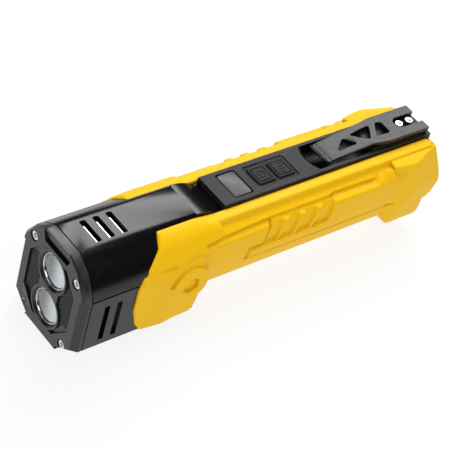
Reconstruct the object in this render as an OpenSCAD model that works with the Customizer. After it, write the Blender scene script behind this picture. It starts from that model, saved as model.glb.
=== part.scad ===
// Firefighter's hand lamp with two stacked lenses, a control panel, a belt clip and a rubber sleeve.
// +X runs forward along the beam, +Y to the left, +Z up out of the control panel.
// Stations are distances back from the bezel's front plane; heights are above the resting plane.

/* [Overall] */
// Overall length from the bezel to the tail of the sleeve
overall_length = 205.6; // [205:0.2:250]
// Height of the head's flat top face above the resting plane
head_height = 51.2; // [50.5:0.1:53]
// Height of the point midway between the two lenses
axis_height = 24.1; // [23:0.1:25]
// Half width of the head across its side faces
head_half_width = 22.2; // [21.5:0.1:27]
// Wall of the head and of the two case halves
shell_wall = 2; // [1.6:0.1:2.4]

/* [Head] */
// Depth of the bezel from front to back
bezel_depth = 4.4; // [4:0.1:6]
// Thickness of the gasket between the bezel and the head
gasket_thickness = 0.5; // [0.3:0.1:1]
// Station where the full head section ends
head_end = 62; // [60:0.5:64]
// Station where the head's neck meets the case
neck_end = 78; // [77:0.5:80]
// Width of the bridge between the two lens openings
lens_bridge = 3.6; // [3:0.1:5]
// Radius of each lens opening in the bezel
lens_opening_radius = 8.2; // [7:0.05:9.85]
// Diameter of the bezel screw shanks
bezel_screw_diameter = 2.4; // [2:0.1:2.6]
// Width of each vent slot in the top face
top_vent_width = 3; // [2:0.1:4]
// Length of each side vent slot, up and down
side_vent_height = 19.3; // [14:0.1:22]

/* [Grip] */
// Half width of the raised control panel
panel_half_width = 9.6; // [9.4:0.1:10.2]
// Height of the control panel above the resting plane
panel_height = 49.9; // [49.6:0.1:50.4]
// Thickness of the sleeve's bumper behind the case
bumper_thickness = 7; // [5:0.2:9]
// Half width of the case under the sleeve
case_half_width = 18.4; // [18:0.1:18.8]
// Height of the plane where the two case halves meet
split_height = 38; // [37.5:0.1:40]
// Diameter of the round battery cell
battery_diameter = 21.2; // [18:0.1:25.5]
// Length of the battery cell
battery_length = 70.2; // [65:0.1:72]

/* [Sleeve] */
// Thickness of the sleeve over the sides of the grip
sleeve_thickness = 2.3; // [1.8:0.1:2.6]
// How far the sleeve's front cheeks stand out from the head
cheek_thickness = 1.8; // [1.4:0.1:2.2]
// Radius of the round boss on each cheek
boss_radius = 9.4; // [8:0.1:10]

/* [Controls] */
// Length of each key along the lamp
key_length = 9.3; // [7.7:0.1:11.2]
// Width of each key across the lamp
key_width = 10.4; // [9:0.1:11]
// How far a key can be pressed
key_travel = 0.7; // [0.4:0.1:0.7]
// Length of the display window along the lamp
display_length = 10.4; // [9:0.1:12]
// Width of the display window across the lamp
display_width = 15; // [12:0.1:15.2]

/* [Clip] */
// Thickness of the clip's spring arm
clip_thickness = 1; // [0.8:0.1:1.2]
// Length of the clip's spring arm from its bend to its tip
clip_arm_length = 30; // [28:0.2:30.4]
// Length of the clip's fixed base
clip_base_length = 34.1; // [33.6:0.1:34.6]
// Height of the clip base's top face
clip_height = 53.3; // [53:0.1:54]

/* [Fits] */
// Gap between fixed neighbours
fixed_gap = 0.1; // [0.05:0.01:0.15]
// Radial gap around screw shanks
shank_gap = 0.05; // [0.03:0.01:0.1]
// Gap on each side of a key
key_gap = 0.15; // [0.1:0.01:0.25]

/* [Hidden] */
$fn = 48;
cut = 1; // how far a cutting body runs past the face it opens
lens_pitch = 2 * lens_opening_radius + lens_bridge;
lens_heights = [axis_height + lens_pitch / 2, axis_height - lens_pitch / 2];
case_end = overall_length - bumper_thickness;

// Half outline of the head, from the bottom face up to the top face, as [y, z]
head_half = [
    [head_half_width - 10, 0],
    [head_half_width, 7.3],
    [head_half_width, 34.9],
    [head_half_width - 0.8, 38.5],
    [head_half_width - 6, head_height - 4.8],
    [8.5, head_height]
];
// Half outline of the neck and case, without the raised panel
case_half = [
    [8.5, 7.4],
    [case_half_width - 1.8, 17.5],
    [case_half_width, 24],
    [case_half_width, 37],
    [13.8, 44.8],
    [10.4, 46.2]
];
// Half outline of the sleeve around the grip
grip_half_width = case_half_width + sleeve_thickness;
grip_half = [
    [9.6, 4.9],
    [grip_half_width - 2.2, 16],
    [grip_half_width, 24],
    [grip_half_width + 1.4, 39.5],
    [15.4, 48.4],
    [10.2, 48]
];

// Depths along the lamp, as stations
shell_front = bezel_depth + gasket_thickness;
glass_front = 2.4;
glass_thickness = 1.5;
glass_radius = lens_opening_radius + 0.5;
seal_thickness = shell_front - glass_front - glass_thickness - 0.2;
reflector_depth = 12;
board_front = shell_front + reflector_depth + 0.2;
board_thickness = 1.6;
sink_front = board_front + board_thickness;
sink_end = 42;
driver_front = 46;
driver_height = 20;
pcb_thickness = 1.6;

// Screw places on the bezel, as [y, height from the axis]
upper_screw_side = head_half_width - 7.1;
lower_screw_side = head_half_width - 7.7;
bezel_screw_places = [
    [upper_screw_side, 17.1], [-upper_screw_side, 17.1],
    [lower_screw_side, -18.5], [-lower_screw_side, -18.5]
];
bezel_head_radius = 2.15;
bezel_head_height = 1.6;
bezel_head_depth = 0.5;
bezel_screw_length = 9;
screw_boss_radius = bezel_screw_diameter / 2 + 1.5;

// Control panel stack
ceiling = panel_height - 2;
panel_cavity_half = panel_half_width - 1.8;
frame_top = panel_height - 0.4;
frame_bottom = panel_height - 3.4;
key_top = panel_height + 0.4;
key_flange_top = frame_bottom - 0.05;
key_flange_height = 0.75;
key_bottom = key_flange_top - key_flange_height;
switch_height = 3.1;
switch_top = key_bottom - key_travel - 0.1;
board_top = switch_top - switch_height;
board_height = 1.2;
window_thickness = 1.5;
display_front = neck_end + 7.1;
buttons_front = display_front + display_length + 3.8;
key_pitch = key_length + 1.8;
buttons_length = 2 * key_length + 1.8 + 2.7;
buttons_width = key_width + 3.2;
key_stations = [buttons_front + 1.35 + key_length / 2, buttons_front + 1.35 + key_length / 2 + key_pitch];
switch_board_front = neck_end + 6;
switch_board_end = buttons_front + buttons_length + 1.3;

// Battery bay
battery_front = neck_end + 18.2;
battery_end = battery_front + battery_length;
cradle_wall = 2;
cradle_floor = case_half[0][1] + shell_wall;
contact_gap = 1.2;
contact_thickness = 0.4;

// Case screws, in deep wells from below
case_screw_stations = [neck_end + 10, battery_end + 12];
case_screw_side = 13;
case_screw_head = split_height - 7;

// Clip and the pocket below its arm
pocket_floor = panel_height - 5.2;
pocket_half_width = 8;
rail_height = panel_height + 0.7;
rail_half_width = 7.3;
clip_end = case_end + 1.7;
clip_bend = clip_end - clip_base_length;
clip_tip = clip_bend - clip_arm_length;
clip_valley = clip_tip + 4.4;
pocket_front = clip_tip - 7.7;
panel_end = case_end + 2.9;
rail_end = case_end + 0.7;
clip_half_width = 8.4;
arm_root_half_width = 7;
arm_tip_half_width = 6.1;
clip_floor = rail_height + 0.8;
clip_screw_stations = [clip_end - 11.9, clip_end - 5.5];
clip_slot_front = clip_end - 15;
clip_slot_half_width = 3.3;
clip_screw_head_radius = 1.9;
clip_screw_radius = 1;

// X of a station
function x_at(station) = overall_length / 2 - station;

// A closed outline, symmetric about Z, from its right half
function closed(half) = concat(half, [for (i = [len(half) - 1:-1:0]) [-half[i][0], half[i][1]]]);

// Outward unit normal of the edge from a to b on an anticlockwise outline
function edge_normal(a, b) = [b[1] - a[1], a[0] - b[0]] / norm(b - a);

// A convex anticlockwise outline moved outward by d, or inward where d is negative
function grown(outline, d) = [
    for (i = [0:len(outline) - 1])
        let (
            previous = outline[(i + len(outline) - 1) % len(outline)],
            corner = outline[i],
            next = outline[(i + 1) % len(outline)],
            n1 = edge_normal(previous, corner),
            n2 = edge_normal(corner, next)
        )
        corner + d * (n1 + n2) / (1 + n1 * n2)
];

// Children are an outline in Y and Z, run between two stations
module run(front, rear) {
    translate([x_at(rear), 0, 0])
        rotate([90, 0, 90])
            linear_extrude(rear - front)
                children();
}

// An outline of [station, height] points, run across the lamp
module across(half_width, outline) {
    rotate([90, 0, 0])
        linear_extrude(2 * half_width, center = true)
            polygon([for (p = outline) [x_at(p[0]), p[1]]]);
}

// A box between two stations, symmetric about the middle plane
module slab(front, rear, half_width, bottom, top) {
    translate([x_at(rear), -half_width, bottom])
        cube([rear - front, 2 * half_width, top - bottom]);
}

// A cylinder along the lamp, from a front station to a rear one
module rod(front, rear, radius, side = 0, height = axis_height) {
    translate([x_at(rear), side, height])
        rotate([0, 90, 0])
            cylinder(r = radius, h = rear - front);
}

// A ring along the lamp
module ring(front, rear, outer, inner, height) {
    difference() {
        rod(front, rear, outer, 0, height);
        rod(front - cut, rear + cut, inner, 0, height);
    }
}

// A box with rounded corners in plan, between two stations and two heights
module rounded_slab(front, rear, half_width, bottom, top, radius) {
    translate([x_at(rear), -half_width, bottom])
        linear_extrude(top - bottom) {
            translate([radius, 0])
                square([rear - front - 2 * radius, 2 * half_width]);
            translate([0, radius])
                square([rear - front, 2 * half_width - 2 * radius]);
            for (x = [radius, rear - front - radius])
                for (y = [radius, 2 * half_width - radius])
                    translate([x, y])
                        circle(r = radius);
        }
}

// One triangular pocket in the bezel beside the lenses, as a shallow cut
module bezel_pocket(side) {
    run(-cut, 0.9)
        polygon([
            [side * (head_half_width - 3.4), axis_height - 12],
            [side * (head_half_width - 3.4), axis_height + 10],
            [side * (head_half_width - 10.4), axis_height]
        ]);
}

// Front frame that clamps the lenses
module bezel() {
    color("#1c1c1e")
        difference() {
            run(0, bezel_depth)
                polygon(closed(head_half));
            for (h = lens_heights) {
                rod(-cut, bezel_depth + cut, lens_opening_radius, 0, h);
                rod(glass_front, bezel_depth + cut, glass_radius + fixed_gap, 0, h);
            }
            for (side = [-1, 1])
                bezel_pocket(side);
            for (p = bezel_screw_places) {
                rod(-cut, bezel_head_depth + bezel_head_height, bezel_head_radius + 0.3, p[0], axis_height + p[1]);
                rod(-cut, bezel_depth + cut, bezel_screw_diameter / 2 + shank_gap, p[0], axis_height + p[1]);
            }
        }
}

// Four socket screws through the bezel
module bezel_screws() {
    color("#b9bcc0")
        for (p = bezel_screw_places)
            difference() {
                union() {
                    rod(bezel_head_depth, bezel_head_depth + bezel_head_height, bezel_head_radius,
                        p[0], axis_height + p[1]);
                    rod(bezel_head_depth + bezel_head_height - 0.1, shell_front + bezel_screw_length,
                        bezel_screw_diameter / 2, p[0], axis_height + p[1]);
                }
                translate([x_at(bezel_head_depth + 0.9), p[0], axis_height + p[1]])
                    rotate([0, 90, 0])
                        cylinder(r = 1.1, h = 2, $fn = 6);
            }
}

// Flat gasket set in from the outline, seen as a dark seam
module bezel_gasket() {
    color("#0c0c0c")
        difference() {
            run(bezel_depth, shell_front)
                polygon(grown(closed(head_half), -0.5));
            run(bezel_depth - cut, shell_front + cut)
                polygon(grown(closed(head_half), -shell_wall));
        }
}

// Bright trim ring around one lens
module lens_ring(h) {
    color("#c9cbd0")
        ring(1.1, glass_front - 0.05, lens_opening_radius - 0.05, lens_opening_radius - 0.7, h);
}
module lens_ring_upper() { lens_ring(lens_heights[0]); }
module lens_ring_lower() { lens_ring(lens_heights[1]); }

// Round window of one lens
module lens(h) {
    color("#dfe8ee", 0.4)
        rod(glass_front, glass_front + glass_thickness, glass_radius, 0, h);
}
module lens_upper() { lens(lens_heights[0]); }
module lens_lower() { lens(lens_heights[1]); }

// Flat seals between the lenses and the reflectors
module lens_seals() {
    color("#151515")
        for (h = lens_heights)
            ring(glass_front + glass_thickness, glass_front + glass_thickness + seal_thickness,
                glass_radius, glass_radius - 1, h);
}

// Reflector cup, wide at the front, with a hole for the emitter
module reflector(h) {
    rim = glass_radius;
    throat = 3;
    wall = 0.7;
    color("#e6e6ea")
        translate([x_at(shell_front + reflector_depth), 0, h])
            rotate([0, 90, 0])
                rotate_extrude()
                    polygon([
                        [throat, 0],
                        [throat + wall + 1, 0],
                        [throat + wall + 1.6, 1.5],
                        [rim - 1.6, reflector_depth * 0.62],
                        [rim - 0.4, reflector_depth - 0.8],
                        [rim, reflector_depth - 0.8],
                        [rim, reflector_depth + 0.1],
                        [rim - 0.9, reflector_depth + 0.1],
                        [rim - 2.4, reflector_depth * 0.62],
                        [throat + 1, 1.5]
                    ]);
}
module reflector_upper() { reflector(lens_heights[0]); }
module reflector_lower() { reflector(lens_heights[1]); }

// Metal core board behind the reflectors
module led_board() {
    color("#e8e8e2")
        difference() {
            slab(board_front, board_front + board_thickness, 13, axis_height - 17, axis_height + 17);
            for (side = [-1, 1])
                rod(board_front - cut, board_front + board_thickness + cut, 1 + shank_gap, side * 9.6);
            for (p = bezel_screw_places)
                rod(board_front - cut, board_front + board_thickness + cut, screw_boss_radius + 0.4,
                    p[0], axis_height + p[1]);
        }
}

// One square light emitter with a dome behind each lens
module led_emitters() {
    color("#f3dd6a")
        for (h = lens_heights) {
            translate([x_at(board_front), -1.75, h - 1.75])
                cube([0.7, 3.5, 3.5]);
            rod(board_front - 1.5, board_front - 0.6, 1.3, 0, h);
        }
}

// Two screws that clamp the board to the heat sink
module board_screws() {
    color("#a8abb0")
        for (side = [-1, 1]) {
            rod(board_front - 1.3, board_front, 1.8, side * 9.6);
            rod(board_front - 0.1, sink_front + 6, 1, side * 9.6);
        }
}

// Finned block between the two rows of vents
module heat_sink() {
    fin_gap = 1.8;
    fin_pitch = 3.6;
    color("#8f9397")
        difference() {
            run(sink_front, sink_end)
                polygon(grown(closed(head_half), -shell_wall - 0.3));
            for (p = bezel_screw_places)
                rod(sink_front - cut, sink_end + cut, screw_boss_radius + 0.4, p[0], axis_height + p[1]);
            for (side = [-1, 1])
                rod(sink_front - cut, sink_front + 7, 1 + shank_gap, side * 9.6);
            rod(sink_front + 3, sink_end + cut, 8);
            for (s = [sink_front + 3:fin_pitch:sink_end - 3]) {
                slab(s, s + fin_gap, head_half_width, axis_height + 14, head_height);
                slab(s, s + fin_gap, head_half_width, -cut, 8);
            }
            for (s = [sink_front + 3:fin_pitch:sink_end - 3])
                for (side = [-1, 1])
                    translate([x_at(s + fin_gap), side * (head_half_width - 3) - 3.5, 10])
                        cube([fin_gap, 7, 26]);
        }
}

// Curved thumb ramp from the head's top face down to the front of the control panel
module thumb_ramp() {
    ramp_start = head_end - 1;
    ramp_end = neck_end - 3;
    ramp_low = panel_height - 2.9;
    steps = 10;
    across(head_half_width + cut, concat(
        [for (i = [0:steps])
            [
                ramp_start + (ramp_end - ramp_start) * i / steps,
                head_height - (head_height - ramp_low) * pow(i / steps, 2)
            ]],
        [[neck_end + cut, ramp_low], [neck_end + cut, head_height + cut], [ramp_start, head_height + cut]]
    ));
}

// Head housing with vents, neck and a spigot that enters the case
module head_shell() {
    spigot_end = neck_end + 5;
    color("#111113")
        difference() {
            union() {
                difference() {
                    union() {
                        run(shell_front, head_end)
                            polygon(closed(head_half));
                        run(head_end - 0.01, neck_end)
                            polygon(closed(case_half));
                        slab(head_end - 0.01, neck_end, panel_half_width, 44, head_height);
                        run(neck_end - 0.01, spigot_end)
                            polygon(grown(closed(case_half), -shell_wall - fixed_gap));
                    }
                    run(shell_front - cut, head_end - shell_wall)
                        polygon(grown(closed(head_half), -shell_wall));
                    run(head_end - shell_wall - 0.01, neck_end - 2)
                        polygon(grown(closed(case_half), -shell_wall));
                    run(neck_end - 2.01, spigot_end + cut)
                        polygon(grown(closed(case_half), -2 * shell_wall));
                }
                intersection() {
                    run(shell_front, head_end - 1)
                        polygon(grown(closed(head_half), -0.5));
                    for (p = bezel_screw_places)
                        rod(shell_front, shell_front + bezel_screw_length + 2, screw_boss_radius,
                            p[0], axis_height + p[1]);
                }
                driver_rails();
            }
            for (p = bezel_screw_places)
                rod(shell_front - cut, shell_front + bezel_screw_length + 0.5, bezel_screw_diameter / 2 + shank_gap,
                    p[0], axis_height + p[1]);
            top_vents();
            side_vents();
            side_grooves();
            thumb_ramp();
        }
}

// Ribs inside the neck that hold the driver board's edges
module driver_rails() {
    for (side = [-1, 1])
        intersection() {
            run(head_end, neck_end)
                polygon(grown(closed(case_half), -0.5));
            union() {
                for (bottom = [driver_height - 1.5, driver_height + pcb_thickness + fixed_gap])
                    translate([x_at(neck_end - 1), side * 16.5 - 3, bottom])
                        cube([neck_end - head_end - 2, 6, 1.4]);
            }
        }
}

// Three slots through the top face
module top_vents() {
    for (i = [0:2])
        rounded_slab(13.8 + i * 6.4, 13.8 + i * 6.4 + top_vent_width, 6.5, head_height - 5, head_height + cut, 0.8);
}

// Two upright slots through each side face
module side_vents() {
    for (s = [12, 18.2])
        for (side = [-1, 1])
            translate([x_at(s + 2.6), side * head_half_width - 4, axis_height + 5.7 - side_vent_height])
                cube([2.6, 8, side_vent_height]);
}

// Fine groove below the shoulder on each side of the head
module side_grooves() {
    for (side = [-1, 1])
        translate([x_at(head_end + cut), side * head_half_width - 0.5, 34.4])
            cube([head_end - shell_front + 2 * cut, 1, 0.8]);
}

// Board with the driver circuit, held by its edges in the neck
module driver_board() {
    color("#1f5c3a")
        slab(driver_front, neck_end - 2, 14.2, driver_height, driver_height + pcb_thickness);
}

// Coil, capacitor and chip on the driver board
module driver_parts() {
    top = driver_height + pcb_thickness;
    color("#3a3a3c") {
        translate([x_at(driver_front + 9), 4, top])
            cylinder(r = 4.5, h = 5);
        translate([x_at(driver_front + 9), -7, top])
            cylinder(r = 3.1, h = 7.7);
        translate([x_at(driver_front + 24), -4, top])
            cube([8, 8, 1.6]);
    }
}

// Outer body of both case halves, before they are hollowed
module case_body() {
    run(neck_end, case_end)
        polygon(closed(case_half));
    slab(neck_end, case_end, panel_half_width, 44, panel_height);
    slab(case_end - 1, panel_end, panel_half_width, panel_height - 3, panel_height);
    slab(clip_bend, rail_end, rail_half_width, panel_height - 2, rail_height);
}

// Inner space shared by both case halves
module case_cavity() {
    run(neck_end - cut, case_end - shell_wall)
        polygon(grown(closed(case_half), -shell_wall));
}

// Space under the panel for the display and keys
module panel_cavity() {
    slab(neck_end + 5, switch_board_end, panel_cavity_half, 40, ceiling);
}

// Screw bosses of both case halves, trimmed to the case
module case_bosses(bottom, top) {
    intersection() {
        run(neck_end, case_end - 1)
            polygon(grown(closed(case_half), -0.5));
        for (s = case_screw_stations)
            for (side = [-1, 1])
                translate([x_at(s), side * case_screw_side, bottom])
                    cylinder(r = 2.9, h = top - bottom);
    }
}

// Holes and head wells for the case screws
module case_screw_holes() {
    for (s = case_screw_stations)
        for (side = [-1, 1]) {
            translate([x_at(s), side * case_screw_side, -cut])
                cylinder(r = 2.2, h = case_screw_head + cut);
            translate([x_at(s), side * case_screw_side, 0])
                cylinder(r = 1.2 + shank_gap, h = split_height + 4.5);
        }
}

// Upper half of the case with the control panel, the clip's pocket and its rail
module upper_case() {
    color("#19191b")
        difference() {
            union() {
                difference() {
                    intersection() {
                        case_body();
                        slab(neck_end, panel_end, 30, split_height, 60);
                    }
                    difference() {
                        case_cavity();
                        slab(switch_board_end + 1, case_end, panel_half_width, pocket_floor - 1.6, 60);
                    }
                    panel_cavity();
                }
                case_bosses(split_height, split_height + 6);
            }
            case_screw_holes();
            rounded_slab(display_front - fixed_gap, display_front + display_length + fixed_gap,
                display_width / 2 + fixed_gap, panel_height - window_thickness, panel_height + cut, 1);
            slab(display_front + 0.9, display_front + display_length - 0.9, display_width / 2 - 0.8,
                ceiling - cut, panel_height);
            rounded_slab(buttons_front - fixed_gap, buttons_front + buttons_length + fixed_gap,
                buttons_width / 2 + fixed_gap, ceiling - cut, panel_height + cut, 1.4);
            rounded_slab(pocket_front, clip_bend - 0.2, pocket_half_width, pocket_floor, panel_height + cut, 3.5);
            slab(clip_bend - 6, clip_bend - 0.2, pocket_half_width, pocket_floor, panel_height + cut);
            for (s = clip_screw_stations)
                translate([x_at(s), 0, rail_height - 6])
                    cylinder(r = clip_screw_radius + shank_gap, h = 7);
        }
}

// Lower half of the case, a closed trough
module lower_case() {
    color("#19191b")
        difference() {
            union() {
                difference() {
                    intersection() {
                        case_body();
                        slab(neck_end, panel_end, 30, 0, split_height);
                    }
                    case_cavity();
                }
                case_bosses(7.4, split_height);
            }
            case_screw_holes();
        }
}

// Four screws that draw the case halves together
module case_screws() {
    color("#a8abb0")
        for (s = case_screw_stations)
            for (side = [-1, 1])
                translate([x_at(s), side * case_screw_side, case_screw_head - 1.8]) {
                    cylinder(r = 2, h = 1.8);
                    cylinder(r = 1.2, h = 10);
                }
}

// Trough and end walls that hold the battery cell
module battery_cradle() {
    front = battery_front - contact_gap - cradle_wall;
    rear = battery_end + contact_gap + cradle_wall;
    color("#2b2b2e")
        difference() {
            intersection() {
                union() {
                    slab(front, rear, 8.5, cradle_floor, axis_height - 3);
                    for (s = [front, rear - cradle_wall])
                        slab(s, s + cradle_wall, 8.5, cradle_floor, axis_height + 10);
                }
                run(front, rear)
                    polygon(grown(closed(case_half), -shell_wall - fixed_gap));
            }
            rod(battery_front - contact_gap, battery_end + contact_gap, battery_diameter / 2 + fixed_gap);
        }
}

// Round rechargeable cell with its raised pole
module battery_cell() {
    color("#3f7fb5") {
        rod(battery_front + 0.6, battery_end, battery_diameter / 2);
        rod(battery_front, battery_front + 0.7, 3.5);
    }
}

// Flat contact against the cell's raised pole
module contact_front() {
    color("#d8c48a")
        slab(battery_front - contact_gap, battery_front - 0.05, 4, axis_height - 4, axis_height + 4);
}

// Leaf spring contact against the cell's base
module contact_rear() {
    back = battery_end + contact_gap;
    color("#d8c48a")
        across(3.5, [
            [back, axis_height - 6],
            [back, axis_height + 6],
            [back - contact_thickness, axis_height + 6],
            [battery_end + 0.05 + contact_thickness, axis_height + 2],
            [battery_end + 0.05, axis_height + 1.6],
            [battery_end + 0.05, axis_height - 1.6],
            [battery_end + 0.05 + contact_thickness, axis_height - 2],
            [back - contact_thickness, axis_height - 6]
        ]);
}

// Board below the keys and the display
module switch_board() {
    color("#1f5c3a")
        slab(switch_board_front, switch_board_end, 8.6, board_top - board_height, board_top);
}

// One push switch under each key
module tact_switches() {
    color("#8d8f92")
        for (s = key_stations) {
            slab(s - 3, s + 3, 3, board_top, switch_top - 0.9);
            translate([x_at(s), 0, switch_top - 1])
                cylinder(r = 1.7, h = 1);
        }
}

// Display block between the board and the window
module display_module() {
    color("#26303a")
        slab(display_front + 1, display_front + display_length - 1, display_width / 2 - 0.9,
            board_top, panel_height - window_thickness);
}

// Clear cover of the display, flush with the panel
module display_window() {
    color("#3a3d40")
        rounded_slab(display_front, display_front + display_length, display_width / 2,
            panel_height - window_thickness, panel_height - 0.1, 1);
}

// Frame in the panel that guides the two keys
module button_frame() {
    color("#0f0f10")
        difference() {
            union() {
                rounded_slab(buttons_front, buttons_front + buttons_length, buttons_width / 2,
                    frame_bottom, frame_top, 1.4);
                slab(buttons_front - 1.2, buttons_front + buttons_length + 1.2, panel_cavity_half - 0.2,
                    frame_bottom, ceiling - 0.05);
            }
            for (s = key_stations)
                rounded_slab(s - key_length / 2 - key_gap, s + key_length / 2 + key_gap,
                    key_width / 2 + key_gap, frame_bottom - cut, frame_top + cut, 1.2 + key_gap);
        }
}

// One key with the flange that keeps it in the frame
module key(s) {
    color("#141415") {
        rounded_slab(s - key_length / 2, s + key_length / 2, key_width / 2, key_flange_top - 0.1, key_top, 1.2);
        slab(s - key_length / 2 - 0.6, s + key_length / 2 + 0.6, key_width / 2 + 0.6, key_bottom, key_flange_top);
    }
}
module power_button() { key(key_stations[0]); }
module mode_button() { key(key_stations[1]); }

// Fixed base of the clip, flared, with a recess open to the tail around its screws
module clip_base() {
    color("#2c2c2f")
        difference() {
            translate([0, 0, rail_height])
                linear_extrude(clip_height - rail_height)
                    polygon([
                        for (p = [
                            [clip_bend, arm_root_half_width],
                            [clip_bend + 9, clip_half_width],
                            [clip_end, clip_half_width],
                            [clip_end, -clip_half_width],
                            [clip_bend + 9, -clip_half_width],
                            [clip_bend, -arm_root_half_width]
                        ]) [x_at(p[0]), p[1]]
                    ]);
            slab(clip_slot_front + clip_slot_half_width, clip_end + cut, clip_slot_half_width,
                clip_floor, clip_height + cut);
            translate([x_at(clip_slot_front + clip_slot_half_width), 0, clip_floor])
                cylinder(r = clip_slot_half_width, h = 4);
            for (s = clip_screw_stations)
                translate([x_at(s), 0, rail_height - cut])
                    cylinder(r = clip_screw_radius + shank_gap, h = 4);
            translate([0, 0, rail_height - cut])
                linear_extrude(6)
                    polygon([
                        [x_at(clip_bend + 5.4), 2.6],
                        [x_at(clip_bend + 12.4), 3.4],
                        [x_at(clip_bend + 12.4), -3.4],
                        [x_at(clip_bend + 9.4), -3.9]
                    ]);
        }
}

// Spring arm of the clip, lightened by cut-outs, with its tip turned up
module clip_arm() {
    arm_top = clip_height - 2.4;
    color("#3a3a3d")
        intersection() {
            across(20, [
                [clip_bend, clip_height],
                [clip_valley + 3, arm_top],
                [clip_valley, arm_top - 0.9],
                [clip_valley - 1.3, arm_top - 0.6],
                [clip_tip, arm_top + 1.9],
                [clip_tip + 0.2, arm_top + 0.4],
                [clip_valley - 1.1, arm_top - 0.9 - 0.6 * clip_thickness],
                [clip_valley + 0.6, arm_top - 0.9 - clip_thickness],
                [clip_valley + 3.4, arm_top - clip_thickness],
                [clip_bend, clip_height - clip_thickness]
            ]);
            translate([0, 0, 40])
                linear_extrude(20)
                    difference() {
                        polygon([
                            for (p = [
                                [clip_bend, arm_root_half_width],
                                [clip_bend, -arm_root_half_width],
                                [clip_tip + 2.6, -arm_tip_half_width],
                                [clip_tip, -arm_tip_half_width + 2.8],
                                [clip_tip, arm_tip_half_width - 2.8],
                                [clip_tip + 2.6, arm_tip_half_width]
                            ]) [x_at(p[0]), p[1]]
                        ]);
                        polygon([
                            [x_at(clip_bend - 18), 2.4],
                            [x_at(clip_bend - 6.8), 2.9],
                            [x_at(clip_bend - 11.4), -2.2]
                        ]);
                        polygon([
                            [x_at(clip_bend - 6.6), -2.2],
                            [x_at(clip_bend - 1.4), 2.9],
                            [x_at(clip_bend - 1.4), -2.7]
                        ]);
                    }
        }
}

// Two screws through the clip's base into the case
module clip_screws() {
    color("#c4c6ca")
        for (s = clip_screw_stations)
            translate([x_at(s), 0, 0])
                difference() {
                    union() {
                        translate([0, 0, clip_floor])
                            cylinder(r = clip_screw_head_radius, h = 1.3);
                        translate([0, 0, rail_height - 5.5])
                            cylinder(r = clip_screw_radius, h = 6.5);
                    }
                    translate([0, 0, clip_floor + 0.5])
                        cylinder(r = 0.9, h = 2, $fn = 6);
                }
}

// Side outline of the sleeve's front cheeks, as [station, height]
cheek_outline = [
    [28, 21], [28, 33], [30, 38], [33.5, 44.5], [38.5, 49.2], [70, 49.2],
    [84, 47], [84, 20], [65.5, 20], [61, 12], [45.5, 8.9], [34, 8.7], [31, 12]
];

// Side outline of the tail's foot
foot_outline = [
    for (p = [[33.2, 17.7], [26.1, 0], [11.6, 0], [4.8, 8], [4.8, 18], [0, 20], [0, 34], [5.6, 46], [33.2, 46]])
        [overall_length - p[0], p[1]]
];

// Rubber sleeve: two cheeks with a boss each, a grip, and a tail with a foot
module protective_sleeve() {
    tail = overall_length;
    color("#f2c418")
        difference() {
            union() {
                intersection() {
                    across(30, cheek_outline);
                    run(20, 90)
                        polygon(grown(closed(head_half), cheek_thickness));
                }
                intersection() {
                    across(30, [
                        [62, 12], [66, 4.9], [tail - 6, 4.9], [tail, 20], [tail, 34], [tail - 3, 46], [tail - 6, 48.4], [60, 48.4]
                    ]);
                    run(60, tail)
                        polygon(closed(grip_half));
                }
                intersection() {
                    across(30, foot_outline);
                    run(tail - 36, tail)
                        polygon(closed([
                            [13.2, 0],
                            [grip_half_width - 0.6, 10.5],
                            [grip_half_width + 0.4, 24],
                            [grip_half_width + 0.4, 34],
                            [14, 46]
                        ]));
                }
                rotate([90, 0, 0])
                    translate([x_at(55.8), axis_height + 0.8, 0])
                        cylinder(r = boss_radius, h = 2 * (head_half_width + cheek_thickness + 0.1), center = true);
            }
            run(20, head_end + fixed_gap)
                polygon(grown(closed(head_half), fixed_gap));
            run(head_end, case_end + fixed_gap)
                polygon(grown(closed(case_half), fixed_gap));
            slab(20, case_end + fixed_gap, panel_half_width + 0.3, 44, 60);
            slab(case_end, tail + cut, panel_half_width + 0.3, panel_height - 3 - fixed_gap, 60);
            for (side = [-1, 1])
                translate([x_at(55.8), side * (head_half_width + cheek_thickness + 0.1), axis_height + 0.8])
                    rotate([90, 30, 0])
                        cylinder(r = 4.3, h = 2, center = true, $fn = 6);
        }
}

bezel();
bezel_screws();
bezel_gasket();
lens_ring_upper();
lens_ring_lower();
lens_upper();
lens_lower();
lens_seals();
reflector_upper();
reflector_lower();
led_board();
led_emitters();
board_screws();
heat_sink();
head_shell();
driver_board();
driver_parts();
upper_case();
lower_case();
case_screws();
battery_cradle();
battery_cell();
contact_front();
contact_rear();
switch_board();
tact_switches();
display_module();
display_window();
button_frame();
power_button();
mode_button();
clip_base();
clip_arm();
clip_screws();
protective_sleeve();
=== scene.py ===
"""Looks of a firefighter's hand lamp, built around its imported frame.

Stations are distances back from the bezel's front plane, in millimetres. Sides (Y) are distances
to the left of the middle plane, and heights (Z) are above the resting plane.
"""

import logging
import math
from collections.abc import Callable
from dataclasses import dataclass, field
from enum import Enum

import bmesh
import bpy
import numpy as np
from mathutils import Matrix, Vector


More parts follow.
